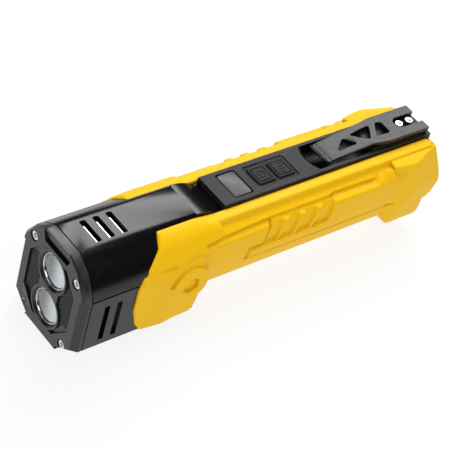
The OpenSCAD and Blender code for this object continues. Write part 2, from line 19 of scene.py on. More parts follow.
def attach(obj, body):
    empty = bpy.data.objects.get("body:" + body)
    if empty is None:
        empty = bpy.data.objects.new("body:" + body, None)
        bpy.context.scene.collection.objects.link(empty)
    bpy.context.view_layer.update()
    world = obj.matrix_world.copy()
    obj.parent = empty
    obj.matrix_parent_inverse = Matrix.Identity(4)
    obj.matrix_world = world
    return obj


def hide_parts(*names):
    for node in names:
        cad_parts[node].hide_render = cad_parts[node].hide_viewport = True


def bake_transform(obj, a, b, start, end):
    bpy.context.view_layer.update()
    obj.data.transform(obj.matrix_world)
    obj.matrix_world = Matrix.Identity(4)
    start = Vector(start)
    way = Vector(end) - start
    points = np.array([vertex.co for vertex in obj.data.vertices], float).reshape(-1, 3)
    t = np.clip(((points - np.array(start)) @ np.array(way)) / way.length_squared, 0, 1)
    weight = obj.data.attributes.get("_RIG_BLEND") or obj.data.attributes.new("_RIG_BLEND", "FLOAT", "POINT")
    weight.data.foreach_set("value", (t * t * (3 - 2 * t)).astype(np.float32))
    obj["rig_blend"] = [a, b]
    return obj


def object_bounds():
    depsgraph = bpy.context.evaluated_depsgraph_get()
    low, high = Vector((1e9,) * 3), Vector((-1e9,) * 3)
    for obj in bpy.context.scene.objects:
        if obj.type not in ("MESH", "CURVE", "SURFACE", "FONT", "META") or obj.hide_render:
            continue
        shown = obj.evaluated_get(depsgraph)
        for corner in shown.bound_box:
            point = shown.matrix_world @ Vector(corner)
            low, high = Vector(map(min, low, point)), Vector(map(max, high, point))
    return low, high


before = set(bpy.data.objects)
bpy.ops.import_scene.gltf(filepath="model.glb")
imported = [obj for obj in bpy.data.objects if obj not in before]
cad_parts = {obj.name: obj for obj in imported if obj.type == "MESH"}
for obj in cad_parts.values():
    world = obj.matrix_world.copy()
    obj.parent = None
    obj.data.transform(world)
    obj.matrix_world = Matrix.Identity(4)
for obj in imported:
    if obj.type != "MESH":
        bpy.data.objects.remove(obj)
FRAME_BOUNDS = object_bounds()
MM = 0.001
LENGTH = (FRAME_BOUNDS[1].x - FRAME_BOUNDS[0].x) / MM
AXIS_HEIGHT = 24.1
WHITE = (1.0, 1.0, 1.0, 1.0)
log = logging.getLogger("lamp")

Point2 = tuple[float, float]
Point3 = tuple[float, float, float]
Tree = bpy.types.NodeTree
Socket = bpy.types.NodeSocket
Thing = bpy.types.Object

# Half outlines as (side, height), from the bottom face up to the top face
HEAD_HALF: list[Point2] = [(12.2, 0), (22.2, 7.3), (22.2, 34.9), (21.4, 38.5), (16.2, 46.4), (8.5, 51.2)]
CASE_HALF: list[Point2] = [(8.5, 7.4), (16.6, 17.5), (18.4, 24), (18.4, 37), (13.8, 44.8), (10.4, 46.2)]


# ---------------------------------------------------------------- small helpers


def x_at(station: float) -> float:
    """X in millimetres of a station."""
    return LENGTH / 2 - station


def linear(colour: str) -> tuple[float, float, float, float]:
    """Turns an sRGB hex colour to linear light.

    Args:
        colour: six hex digits after a hash sign.

    Returns:
        Linear red, green, blue and an alpha of one.
    """
    parts = [int(colour[i : i + 2], 16) / 255 for i in (1, 3, 5)]
    light = [c / 12.92 if c <= 0.04045 else ((c + 0.055) / 1.055) ** 2.4 for c in parts]
    return (*light, 1.0)


def add_node(tree: Tree, kind: str, links: dict | None = None, **settings: object) -> bpy.types.Node:
    """Adds a node with its settings and links.

    Args:
        tree: the tree that gets the node.
        kind: the node's type name.
        links: input name or index, to a value or to an output socket.
        settings: the node's own properties.

    Returns:
        The new node.
    """
    made = tree.nodes.new(kind)
    for name, value in settings.items():
        setattr(made, name, value)
    for key, value in (links or {}).items():
        socket = made.inputs[key]
        if isinstance(value, Socket):
            tree.links.new(value, socket)
        else:
            socket.default_value = value
    return made


def mix_colour(tree: Tree, share: Socket, low: Socket | tuple, high: Socket | tuple) -> bpy.types.Node:
    """Adds a node that mixes two colours."""
    return add_node(tree, "ShaderNodeMix", {0: share, 6: low, 7: high}, data_type="RGBA")


# ---------------------------------------------------------------- finishes


class Body(Enum):
    """The bodies that pieces ride on."""

    LAMP = "lamp"
    POWER = "power_button"
    MODE = "mode_button"
    CLIP = "clip_arm"


@dataclass(frozen=True)
class Finish:
    """A moulded, cast or coated surface with fine grain, slow tone changes, edges lightened as wear and
    painted highlight, and painted shade in hollows where set.
    """

    name: str
    colour: str
    roughness: float
    metallic: float = 0.0
    grain_mm: float = 0.5
    grain_depth: float = 0.03
    roughness_spread: float = 0.08
    tone: float = 0.12
    tone_mm: float = 14.0
    # Edge lightening: partly wear, partly a painted edge highlight
    edge_wear_and_highlight: float = 0.25
    specular: float = 0.5
    # Strength and reach of the painted shade in hollows
    painted_groove_shade: float = 0.0
    painted_shade_reach_mm: float = 2.4

    def build(self) -> bpy.types.Material:
        """Makes the material.

        Returns:
            The material, with colour, roughness and bump from nodes.
        """
        material = bpy.data.materials.new(self.name)
        material.use_nodes = True
        tree = material.node_tree
        tree.nodes.clear()
        place = add_node(tree, "ShaderNodeTexCoord")
        spot = add_node(tree, "ShaderNodeMapping", {"Vector": place.outputs["Object"]})
        at = spot.outputs["Vector"]
        slow = add_node(
            tree, "ShaderNodeTexNoise", {"Vector": at, "Scale": 1 / (self.tone_mm * MM), "Detail": 4.0}
        )
        fine = add_node(
            tree, "ShaderNodeTexNoise", {"Vector": at, "Scale": 1 / (self.grain_mm * MM), "Detail": 2.0}
        )
        base = linear(self.colour)
        dark = tuple(c * (1 - self.tone) for c in base[:3]) + (1.0,)
        light = tuple(min(1.0, c * (1 + self.tone)) for c in base[:3]) + (1.0,)
        worn_and_highlit_colour = tuple(min(1.0, c + (1 - c) * self.edge_wear_and_highlight) for c in base[:3]) + (1.0,)
        body = mix_colour(tree, slow.outputs["Fac"], dark, light)
        shape = add_node(tree, "ShaderNodeNewGeometry")
        # Convex edges, broken up by the slow noise, are lightened towards white: partly wear, partly a
        # painted edge highlight.
        edge = add_node(
            tree,
            "ShaderNodeMapRange",
            {
                "Value": shape.outputs["Pointiness"], "From Min": 0.53, "From Max": 0.62, "To Min": 0.0,
                "To Max": 0.35
            },
        )
        broken = add_node(
            tree, "ShaderNodeMath", {0: edge.outputs[0], 1: slow.outputs["Fac"]}, operation="MULTIPLY"
        )
        colour = mix_colour(tree, broken.outputs[0], body.outputs[2], worn_and_highlit_colour)
        colour = self.tint(tree, at, colour)
        # Painted shade: where ambient occlusion finds a hollow, the colour darkens to a deeper, more
        # saturated tone.
        if self.painted_groove_shade:
            hollow = add_node(
                tree, "ShaderNodeAmbientOcclusion", {"Distance": self.painted_shade_reach_mm * MM}, samples=8
            )
            shade = add_node(
                tree,
                "ShaderNodeMapRange",
                {
                    "Value": hollow.outputs["AO"], "From Min": 0.25, "From Max": 0.95, "To Min": self.painted_groove_shade,
                    "To Max": 0.0
                },
            )
            painted_groove_colour = tuple(c * s for c, s in zip(base[:3], (0.42, 0.36, 0.2))) + (1.0,)
            colour = mix_colour(tree, shade.outputs[0], colour.outputs[2], painted_groove_colour)
        rough = add_node(
            tree,
            "ShaderNodeMapRange",
            {
                "Value": fine.outputs["Fac"],
                "From Min": 0.3,
                "From Max": 0.7,
                "To Min": max(0.02, self.roughness - self.roughness_spread),
                "To Max": min(1.0, self.roughness + self.roughness_spread),
            },
        )
        bump = add_node(
            tree,
            "ShaderNodeBump",
            {"Height": fine.outputs["Fac"], "Distance": self.grain_depth * MM, "Strength": 1.0},
        )
        shader = add_node(
            tree,
            "ShaderNodeBsdfPrincipled",
            {
                "Base Color": colour.outputs[2],
                "Roughness": rough.outputs[0],
                "Normal": bump.outputs["Normal"],
                "Metallic": self.metallic,
                "Specular IOR Level": self.specular,
            },
        )
        add_node(tree, "ShaderNodeOutputMaterial", {"Surface": shader.outputs[0]})
        return material

    def tint(self, tree: Tree, at: Socket, colour: bpy.types.Node) -> bpy.types.Node:
        """A finish may change its colour here; this one keeps it."""
        return colour


@dataclass(frozen=True)
class PaintedReflectionFinish(Finish):
    """A finish with a painted reflection: its own colour on one side of the lamp, fading to a dim colour on
    the other.
    """

    painted_dim_colour: str = "#606060"
    half_span_mm: float = 6.5

    def tint(self, tree: Tree, at: Socket, colour: bpy.types.Node) -> bpy.types.Node:
        """Paints the reflection: mixes the dim colour in towards the far side.

        Args:
            tree: the material's tree.
            at: the place in the lamp's space.
            colour: the node with the colour so far.

        Returns:
            The node with the painted reflection.
        """
        parts = add_node(tree, "ShaderNodeSeparateXYZ", {0: at})
        share = add_node(
            tree,
            "ShaderNodeMapRange",
            {
                "Value": parts.outputs["Y"], "From Min": -self.half_span_mm * MM,
                "From Max": self.half_span_mm * MM
            },
            interpolation_type="SMOOTHSTEP",
        )
        return mix_colour(tree, share.outputs[0], linear(self.painted_dim_colour), colour.outputs[2])


@dataclass(frozen=True)
class ClearGlass(Finish):
    """Coated float glass: mostly clear, with a mirror glint that grows towards grazing angles."""

    haze: float = 0.04

    def build(self) -> bpy.types.Material:
        """Makes the material.

        Returns:
            The material, a Fresnel mix of a clear and a glossy shader.
        """
        material = bpy.data.materials.new(self.name)
        material.use_nodes = True
        tree = material.node_tree
        tree.nodes.clear()
        place = add_node(tree, "ShaderNodeTexCoord")
        smear = add_node(
            tree, "ShaderNodeTexNoise", {"Vector": place.outputs["Object"], "Scale": 1 / (self.tone_mm * MM)}
        )
        rough = add_node(
            tree,
            "ShaderNodeMapRange",
            {"Value": smear.outputs["Fac"], "To Min": self.roughness * 0.5, "To Max": self.roughness * 1.5},
        )
        bump = add_node(
            tree, "ShaderNodeBump", {"Height": smear.outputs["Fac"], "Distance": self.grain_depth * MM}
        )
        glint = add_node(tree, "ShaderNodeFresnel", {"IOR": 1.7, "Normal": bump.outputs["Normal"]})
        lift = add_node(tree, "ShaderNodeMath", {0: glint.outputs[0], 1: self.haze}, operation="ADD")
        side = add_node(tree, "ShaderNodeNewGeometry")
        outer = add_node(
            tree, "ShaderNodeMath", {0: 1.0, 1: side.outputs["Backfacing"]}, operation="SUBTRACT"
        )
        share = add_node(
            tree, "ShaderNodeMath", {0: lift.outputs[0], 1: outer.outputs[0]}, operation="MULTIPLY"
        )
        clear = add_node(tree, "ShaderNodeBsdfTransparent", {"Color": linear(self.colour)})
        gloss = add_node(tree, "ShaderNodeBsdfAnisotropic", {"Roughness": rough.outputs[0]})
        both = add_node(
            tree, "ShaderNodeMixShader", {0: share.outputs[0], 1: clear.outputs[0], 2: gloss.outputs[0]}
        )
        add_node(tree, "ShaderNodeOutputMaterial", {"Surface": both.outputs[0]})
        return material


# Injection-moulded polycarbonate with a polished tool face: deep black with clear, soft-edged reflections
GLOSS_SHELL = Finish(
    "polished_black_polycarbonate", "#0a0a0b", 0.2, grain_mm=3.0, grain_depth=0.001, roughness_spread=0.02,
    edge_wear_and_highlight=0.0, specular=0.42
)
# Glass-filled nylon: dark grey, satin, with the fine spark-eroded grain of its tool
SATIN_CASE = Finish(
    "satin_black_nylon", "#0f0f10", 0.38, grain_mm=0.45, grain_depth=0.004, edge_wear_and_highlight=0.12, specular=0.16
)
# Moulded acrylic light guide, silvered behind, with a painted reflection: white on the lamp's left, fading
# to grey on its right
GUIDE_ACRYLIC = PaintedReflectionFinish(
    "acrylic_guide_painted_reflection", "#ffffff", 0.2, metallic=0.3, grain_mm=3.0, grain_depth=0.001,
    roughness_spread=0.03, edge_wear_and_highlight=0.0, painted_dim_colour="#5c5d60", half_span_mm=4.5
)
# Fine diamond knurl in the bezel's tool, painted a paler grey as a highlight for the light its teeth catch
KNURL_PAINTED_HIGHLIGHT = Finish("knurl_nylon_painted_highlight", "#505052", 0.42, grain_mm=0.3, grain_depth=0.002, edge_wear_and_highlight=0.1)
# Machined fin tips, bright where the top light falls through the vents
FIN_ALLOY = Finish(
    "machined_aluminium_fins", "#e2e4e6", 0.3, metallic=1.0, grain_mm=0.8, grain_depth=0.001, edge_wear_and_highlight=0.0
)
# The same nylon in a coarser tool, which reads a shade lighter on the bezel
# Its pale edges are partly wear and partly a painted highlight.
BEZEL_NYLON = Finish("grained_black_nylon", "#19191a", 0.33, grain_mm=0.4, grain_depth=0.008, edge_wear_and_highlight=0.15)
# Silicone rubber: matt, warm yellow, with a soft skin that hides small reflections, and painted shade
# darkening its grooves and hollows
SLEEVE_RUBBER = Finish(
    "yellow_silicone_rubber", "#fbc503", 0.52, grain_mm=0.6, grain_depth=0.008, tone=0.04,
    edge_wear_and_highlight=0.0, specular=0.15, painted_groove_shade=0.8
)
# Spring steel strip under a matt black oxide coat: grey where light rakes it, with edges lightened partly as
# wear and partly as a painted highlight
CLIP_STEEL = Finish(
    "black_oxide_spring_steel", "#141415", 0.3, grain_mm=0.5, grain_depth=0.001, edge_wear_and_highlight=0.22, specular=0.34
)
# Passivated stainless steel from the header: bright, with turning haze
SCREW_STEEL = Finish(
    "passivated_stainless_steel", "#e4e4e2", 0.2, metallic=1.0, grain_mm=0.3, grain_depth=0.004
)
# Silicone keypad: dark, dry and matt
KEY_RUBBER = Finish(
    "charcoal_silicone_rubber", "#1c1c1d", 0.62, grain_mm=0.4, grain_depth=0.008, edge_wear_and_highlight=0.1, specular=0.3
)
FRAME_RUBBER = Finish(
    "black_key_frame_nylon", "#0a0a0b", 0.6, grain_mm=0.4, grain_depth=0.006, edge_wear_and_highlight=0.1, specular=0.25
)
# Smoked acrylic over a sleeping display: an even mid grey with a soft gloss
WINDOW_ACRYLIC = Finish(
    "smoked_acrylic", "#3f3f3f", 0.4, grain_mm=6.0, grain_depth=0.001, tone=0.04, edge_wear_and_highlight=0.0
)
SEAL_RUBBER = Finish("black_nitrile_rubber", "#0a0a0a", 0.7, grain_mm=0.5, grain_depth=0.01, edge_wear_and_highlight=0.0)
TRIM_CHROME = Finish(
    "chromed_brass_trim", "#d8dadc", 0.16, metallic=1.0, grain_mm=2.0, grain_depth=0.0004, edge_wear_and_highlight=0.0
)
MIRROR = Finish(
    "aluminised_reflector", "#eceded", 0.22, metallic=1.0, grain_mm=1.2, grain_depth=0.01, edge_wear_and_highlight=0.0
)
BOARD_WHITE = Finish("white_solder_mask", "#e6e6e0", 0.4, grain_mm=0.8, grain_depth=0.004, edge_wear_and_highlight=0.0)
PHOSPHOR = Finish("ceramic_phosphor", "#e8cf5a", 0.5, grain_mm=0.2, grain_depth=0.006, edge_wear_and_highlight=0.0)
SINK_ALLOY = Finish("die_cast_aluminium", "#8d9094", 0.4, metallic=1.0, grain_mm=0.7, grain_depth=0.02)
BOARD_GREEN = Finish("green_glass_epoxy", "#1d5a38", 0.35, grain_mm=0.5, grain_depth=0.006, edge_wear_and_highlight=0.0)
DARK_PARTS = Finish("moulded_epoxy_parts", "#2c2c2e", 0.5, grain_mm=0.4, grain_depth=0.01)
CRADLE = Finish("grey_abs_cradle", "#39393c", 0.5, grain_mm=0.5, grain_depth=0.01)
CELL_WRAP = Finish("blue_shrink_wrap", "#3f7fb5", 0.3, grain_mm=1.5, grain_depth=0.008, edge_wear_and_highlight=0.0)
BRASS = Finish("nickel_brass_strip", "#cdb877", 0.3, metallic=1.0, grain_mm=0.4, grain_depth=0.004)
SWITCH_STEEL = Finish("tinned_steel_can", "#a4a5a7", 0.32, metallic=1.0, grain_mm=0.4, grain_depth=0.004)
DISPLAY_DARK = Finish("black_display_block", "#141a20", 0.25, grain_mm=2.0, grain_depth=0.002, edge_wear_and_highlight=0.0)
LENS_GLASS = ClearGlass("coated_lens_glass", "#eef2f4", 0.03, grain_depth=0.002, tone_mm=9.0)


# ---------------------------------------------------------------- meshes


def mesh_object(name: str, points: np.ndarray | list, faces: list | np.ndarray) -> Thing:
    """Makes an object from points in millimetres.

    Args:
        name: the object's name.
        points: corner places, X, Y and Z.
        faces: corner indices of each face.

    Returns:
        The new object, linked to the scene.
    """
    mesh = bpy.data.meshes.new(name)
    mesh.from_pydata((np.asarray(points, float) * MM).tolist(), [], [list(map(int, f)) for f in faces])
    mesh.update()
    made = bpy.data.objects.new(name, mesh)
    bpy.context.scene.collection.objects.link(made)
    return made


def shade_smooth(made: Thing) -> None:
    """Marks every face as smooth."""
    made.data.polygons.foreach_set("use_smooth", np.ones(len(made.data.polygons), bool))


def turn_outward(made: Thing) -> Thing:
    """Merges doubles and points every face outward.

    Args:
        made: a closed mesh.

    Returns:
        The same object.
    """
    bm = bmesh.new()
    bm.from_mesh(made.data)
    bmesh.ops.remove_doubles(bm, verts=bm.verts, dist=1e-6)
    bmesh.ops.recalc_face_normals(bm, faces=bm.faces)
    bm.to_mesh(made.data)
    bm.free()
    return made


def freeze(made: Thing) -> Thing:
    """Turns an object with its modifiers to a plain mesh object of the same name.

    Args:
        made: the object, which is removed.

    Returns:
        The new object.
    """
    name, hidden = made.name, made.hide_render
    graph = bpy.context.evaluated_depsgraph_get()
    mesh = bpy.data.meshes.new_from_object(
        made.evaluated_get(graph), preserve_all_data_layers=True, depsgraph=graph
    )
    place = made.matrix_world.copy()
    bpy.data.objects.remove(made, do_unlink=True)
    mesh.transform(place)
    plain = bpy.data.objects.new(name, mesh)
    plain.hide_render = hidden
    bpy.context.scene.collection.objects.link(plain)
    return plain


def hull(name: str, points: list[Point3]) -> Thing:
    """Makes the convex solid of some points.

    Args:
        name: the object's name.
        points: places in millimetres.

    Returns:
        The solid.
    """
    made = mesh_object(name, points, [])
    bm = bmesh.new()
    bm.from_mesh(made.data)
    found = bmesh.ops.convex_hull(bm, input=bm.verts)
    spare = [e for e in found["geom_interior"] if isinstance(e, bmesh.types.BMVert)]
    bmesh.ops.delete(bm, geom=spare, context="VERTS")
    bmesh.ops.dissolve_limit(bm, angle_limit=0.01, verts=bm.verts, edges=bm.edges)
    bmesh.ops.recalc_face_normals(bm, faces=bm.faces)
    bm.to_mesh(made.data)
    bm.free()
    return made


def prism(name: str, outline: list[Point2], front: float, rear: float) -> Thing:
    """Runs a closed outline of (side, height) between two stations.

    Args:
        name: the object's name.
        outline: the outline's corners.
        front: first station.
        rear: last station.

    Returns:
        The solid.
    """
    count = len(outline)
    points = [(x_at(s), y, z) for s in (front, rear) for y, z in outline]
    faces = [[i, (i + 1) % count, count + (i + 1) % count, count + i] for i in range(count)]
    faces += [list(range(count)), list(range(count, 2 * count))]
    return turn_outward(mesh_object(name, points, faces))


def closed(half: list[Point2]) -> list[Point2]:
    """A closed outline, symmetric about the middle plane, from its left half."""
    return half + [(-y, z) for y, z in reversed(half)]


def spun(name: str, profile: list[Point2], height: float, sides: int = 64) -> Thing:
    """Turns a profile about a line along the lamp.

    Args:
        name: the object's name.
        profile: a closed ring of (station, radius) points.
        height: height of the turning line.
        sides: number of segments.

    Returns:
        The turned solid.
    """
    angles = [2 * math.pi * i / sides for i in range(sides)]
    points = [(x_at(s), r * math.cos(a), height + r * math.sin(a)) for a in angles for s, r in profile]
    count = len(profile)
    faces = [
        [
            i * count + j, i * count + (j + 1) % count, (i + 1) % sides * count + (j + 1) % count,
            (i + 1) % sides * count + j
        ]
        for i in range(sides)
        for j in range(count)
    ]
    return turn_outward(mesh_object(name, points, faces))


def carve(body: Thing, cutters: list[Thing], how: str = "DIFFERENCE") -> Thing:
    """Takes cutters away from a body, or joins them to it.

    Args:
        body: the solid to change.
        cutters: the solids to use, which are removed.
        how: the kind of boolean.

    Returns:
        The changed solid, as a plain mesh.
    """
    for cutter in cutters:
        step = body.modifiers.new("cut", "BOOLEAN")
        step.object, step.operation, step.solver = cutter, how, "EXACT"
    body = freeze(body)
    for cutter in cutters:
        bpy.data.objects.remove(cutter, do_unlink=True)
    return body


def soften(made: Thing, width: float, segments: int = 2, angle: float = 32.0) -> Thing:
    """Cleans a solid's flat faces, then rounds its edges.

    Args:
        made: the solid.
        width: width of the rounding in millimetres.
        segments: rows of faces across it.
        angle: edges sharper than this many degrees are rounded.

    Returns:
        The rounded solid, as a plain smooth-shaded mesh.
    """
    bm = bmesh.new()
    bm.from_mesh(made.data)
    bmesh.ops.remove_doubles(bm, verts=bm.verts, dist=2e-6)
    bmesh.ops.dissolve_limit(bm, angle_limit=math.radians(0.8), verts=bm.verts, edges=bm.edges)
    for face in bm.faces:
        face.smooth = True
    bm.to_mesh(made.data)
    bm.free()
    step = made.modifiers.new("edges", "BEVEL")
    step.width, step.segments = width * MM, segments
    step.limit_method, step.angle_limit = "ANGLE", math.radians(angle)
    step.use_clamp_overlap, step.harden_normals = True, True
    step.miter_outer = "MITER_ARC"
    return freeze(made)


def dress(
    made: Thing,
    finish: Finish,
    body: Body = Body.LAMP,
    nodes: tuple[str, ...] = (),
) -> Thing:
    """Gives a piece its finish and its place among the bodies.

    Args:
        made: the piece.
        finish: its finish.
        body: the body it rides on.
        nodes: the frame's nodes that it stands for.

    Returns:
        The same piece.
    """
    made.data.materials.clear()
    made.data.materials.append(Paint.of(finish))
    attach(made, body.value)
    if nodes:
        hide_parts(*nodes)
    log.info("%s: %d faces on %s", made.name, len(made.data.polygons), body.value)
    within = [np.array(corner) for corner in FRAME_BOUNDS]
    points = np.empty(len(made.data.vertices) * 3)
    made.data.vertices.foreach_get("co", points)
    points = np.clip(points.reshape(-1, 3), within[0], within[1])
    made.data.vertices.foreach_set("co", points.ravel())
    made.data.update()
    return made


def rounded_ring(x: float, size: Point2, corner: float, inset: float, height: float) -> list[Point3]:
    """A level ring of points round a rounded rectangle.

    Args:
        x: X of its middle.
        size: half length and half width before the inset.
        corner: corner radius before the inset.
        inset: distance in from the side.
        height: height of the ring.

    Returns:
        The points.
    """
    steps = 6
    radius = max(0.25, corner - inset)
    a, b = size[0] - inset - radius, size[1] - inset - radius
    points = []
    for turn, (sx, sy) in enumerate(((1, 1), (-1, 1), (-1, -1), (1, -1))):
        for i in range(steps + 1):
            angle = math.pi / 2 * (turn + i / steps)
            points.append((x + sx * a + radius * math.cos(angle), sy * b + radius * math.sin(angle), height))
    return points


def stacked(name: str, rings: list[list[Point3]]) -> Thing:
    """Joins equal rings of points to a closed solid.

    Args:
        name: the object's name.
        rings: the rings from first to last.

    Returns:
        The solid.
    """
    count = len(rings[0])
    faces = [
        [r * count + i, r * count + (i + 1) % count, (r + 1) * count + (i + 1) % count, (r + 1) * count + i]
        for r in range(len(rings) - 1)
        for i in range(count)
    ]
    faces += [list(range(count)), list(range((len(rings) - 1) * count, len(rings) * count))]
    return turn_outward(mesh_object(name, [p for r in rings for p in r], faces))


class Paint:
    """Keeps one material for each finish."""

    made: dict[str, bpy.types.Material] = {}

    @classmethod
    def of(cls, finish: Finish) -> bpy.types.Material:
        """The material of a finish, made at its first use."""
        if finish.name not in cls.made:
            cls.made[finish.name] = finish.build()
        return cls.made[finish.name]


# ---------------------------------------------------------------- distance fields for the moulded rubber


def smooth_max(a: np.ndarray, b: np.ndarray, k: float) -> np.ndarray:
    """The larger of two fields, rounded where they meet."""
    h = np.maximum(k - np.abs(a - b), 0) / k
    return np.maximum(a, b) + h * h * k * 0.25


def smooth_min(a: np.ndarray, b: np.ndarray, k: float) -> np.ndarray:
    """The smaller of two fields, filleted where they meet."""
    return -smooth_max(-a, -b, k)


def ramp(t: np.ndarray) -> np.ndarray:
    """A soft step from nought to one."""
    t = np.clip(t, 0, 1)
    return t * t * (3 - 2 * t)


def to_line(u: np.ndarray, v: np.ndarray, line: list[Point2]) -> np.ndarray:
    """Distance from each point to an open line of segments.

    Args:
        u: first coordinates.
        v: second coordinates.
        line: corners of the line.

    Returns:
        The distances.
    """
    best = np.full(np.broadcast(u, v).shape, 1e9, np.float32)
    for (a0, a1), (b0, b1) in zip(line, line[1:]):
        d0, d1 = b0 - a0, b1 - a1
        t = np.clip(((u - a0) * d0 + (v - a1) * d1) / (d0 * d0 + d1 * d1), 0, 1)
        best = np.minimum(best, np.hypot(u - a0 - t * d0, v - a1 - t * d1))
    return best


def in_outline(u: np.ndarray, v: np.ndarray, outline: list[Point2]) -> np.ndarray:
    """Signed distance to a closed outline, below nought inside.

    Args:
        u: first coordinates.
        v: second coordinates.
        outline: its corners in either direction.

    Returns:
        The distances.
    """
    ring = outline + outline[:1]
    inside = np.zeros(np.broadcast(u, v).shape, bool)
    for (a0, a1), (b0, b1) in zip(ring, ring[1:]):
        if a1 != b1:
            inside ^= ((a1 > v) != (b1 > v)) & (u < (b0 - a0) * (v - a1) / (b1 - a1) + a0)
    away = to_line(u, v, ring)
    return np.where(inside, -away, away)


def half_section(y: np.ndarray, z: np.ndarray, half: list[Point2], out: float, k: float) -> np.ndarray:
    """Distance to a convex symmetric section, for sides at or above nought.

    Args:
        y: sides.
        z: heights.
        half: the section's left half outline, bottom to top.
        out: how far the section is grown.
        k: rounding of its corners.

    Returns:
        The distances.
    """
    ring = [(-half[0][0], half[0][1])] + half + [(-half[-1][0], half[-1][1])]
    field_ = None
    for (a0, a1), (b0, b1) in zip(ring, ring[1:]):
        size = math.hypot(b0 - a0, b1 - a1)
        n0, n1 = (b1 - a1) / size, (a0 - b0) / size
        plane = (y - a0) * n0 + (z - a1) * n1 - out
        field_ = plane if field_ is None else smooth_max(field_, plane, k)
    return field_


def facet(s: np.ndarray, y: np.ndarray, z: np.ndarray, a: Point3, b: Point3, c: Point3) -> np.ndarray:
    """Distance to the plane through three (station, side, height) points, above nought outside.

    Args:
        s: stations.
        y: sides.
        z: heights.
        a: first point.
        b: second point.
        c: third point.

    Returns:
        The distances.
    """
    n = np.cross(np.subtract(b, a), np.subtract(c, a)).astype(float)
    n /= np.linalg.norm(n) * (1 if n[1] > 0 else -1)
    return (s - a[0]) * n[0] + (y - a[1]) * n[1] + (z - a[2]) * n[2]


class Skin:
    """Turns a sampled distance field to a closed mesh of quads."""

    def __init__(
        self, axes: tuple[np.ndarray, np.ndarray, np.ndarray], values: np.ndarray, measure: Callable
    ) -> None:
        """Keeps the sample places, the sampled field and the field's function of X, Y and Z."""
        self.axes = axes
        self.values = values
        self.measure = measure
        self.step = float(axes[0][1] - axes[0][0])

    def corners(self) -> tuple[np.ndarray, np.ndarray]:
        """Places one point in each cell that the surface crosses.

        Returns:
            Places in cell units, and a grid of point numbers.
        """
        v = self.values
        shape = tuple(n - 1 for n in v.shape)
        inside = v < 0
        count = np.zeros(shape, np.int8)
        offsets = [(i, j, k) for i in (0, 1) for j in (0, 1) for k in (0, 1)]
        for i, j, k in offsets:
            count += inside[i : i + shape[0], j : j + shape[1], k : k + shape[2]]
        cells = np.argwhere((count > 0) & (count < 8))
        numbers = np.full(shape, -1, np.int64)
        numbers[tuple(cells.T)] = np.arange(len(cells))
        total = np.zeros((len(cells), 3))
        hits = np.zeros(len(cells))
        for a in offsets:
            for axis in range(3):
                if a[axis]:
                    continue
                b = tuple(1 if n == axis else a[n] for n in range(3))
                va = v[tuple((cells + a).T)]
                vb = v[tuple((cells + b).T)]
                crossed = (va < 0) != (vb < 0)
                t = np.where(crossed, va / np.where(crossed, va - vb, 1), 0)
                place = np.repeat(np.array([a], float), len(cells), 0)
                place[:, axis] += t
                total += place * crossed[:, None]
                hits += crossed
        return cells + total / hits[:, None], numbers

    def faces(self, numbers: np.ndarray) -> np.ndarray:
        """Joins the points of the four cells round each crossed edge.

        Args:
            numbers: the grid of point numbers.

        Returns:
            Quads that face outward.
        """
        v = self.values
        quads = []
        for axis in range(3):
            b, c = (axis + 1) % 3, (axis + 2) % 3
            low = [slice(1, -1)] * 3
            high = [slice(1, -1)] * 3
            low[axis], high[axis] = slice(0, -1), slice(1, None)
            first, second = v[tuple(low)] < 0, v[tuple(high)] < 0
            at = np.argwhere(first != second)
            outward = first[tuple(at.T)]
            at = at + [0 if n == axis else 1 for n in range(3)]
            ring = []
            for db, dc in ((0, 0), (-1, 0), (-1, -1), (0, -1)):
                cell = at.copy()
                cell[:, b] += db
                cell[:, c] += dc
                ring.append(numbers[tuple(cell.T)])
            quad = np.stack(ring, 1)
            quad[~outward] = quad[~outward][:, ::-1]
            quads.append(quad)
        return np.concatenate(quads)

    def settle(self, points: np.ndarray) -> np.ndarray:
        """Moves points onto the surface along the field's slope.

        Args:
            points: places in millimetres.

        Returns:
            The moved places.
        """
        reach = 0.06
        for _ in range(3):
            value = self.measure(points)
            slope = np.zeros_like(points)
            for n in range(3):
                beside = points.copy()
                beside[:, n] += reach
                slope[:, n] = (self.measure(beside) - value) / reach
            size = np.maximum((slope**2).sum(1), 0.05)
            points = points - np.clip(slope * (value / size)[:, None], -0.3, 0.3)
        return points

    def to_object(self, name: str, share: float) -> Thing:
        """Makes the mesh object.

        Args:
            name: the object's name.
            share: share of its triangles to keep.

        Returns:
            The object, smooth-shaded.
        """
        places, numbers = self.corners()
        quads = self.faces(numbers)
        points = np.stack([self.axes[n][0] + places[:, n] * self.step for n in range(3)], 1)
        points = np.clip(self.settle(points) * MM, FRAME_BOUNDS[0], FRAME_BOUNDS[1])
        mesh = bpy.data.meshes.new(name)
        mesh.vertices.add(len(points))
        mesh.vertices.foreach_set("co", points.astype(np.float32).ravel())
        mesh.loops.add(quads.size)
        mesh.loops.foreach_set("vertex_index", quads.astype(np.int32).ravel())
        mesh.polygons.add(len(quads))
        mesh.polygons.foreach_set("loop_start", np.arange(0, quads.size, 4, dtype=np.int32))
        mesh.update(calc_edges=True)
        mesh.polygons.foreach_set("use_smooth", np.ones(len(quads), bool))
        made = bpy.data.objects.new(name, mesh)
        bpy.context.scene.collection.objects.link(made)
        thin = made.modifiers.new("thin", "DECIMATE")
        thin.ratio = share
        made = freeze(made)
        shade_smooth(made)
        return made


# ---------------------------------------------------------------- the protective sleeve


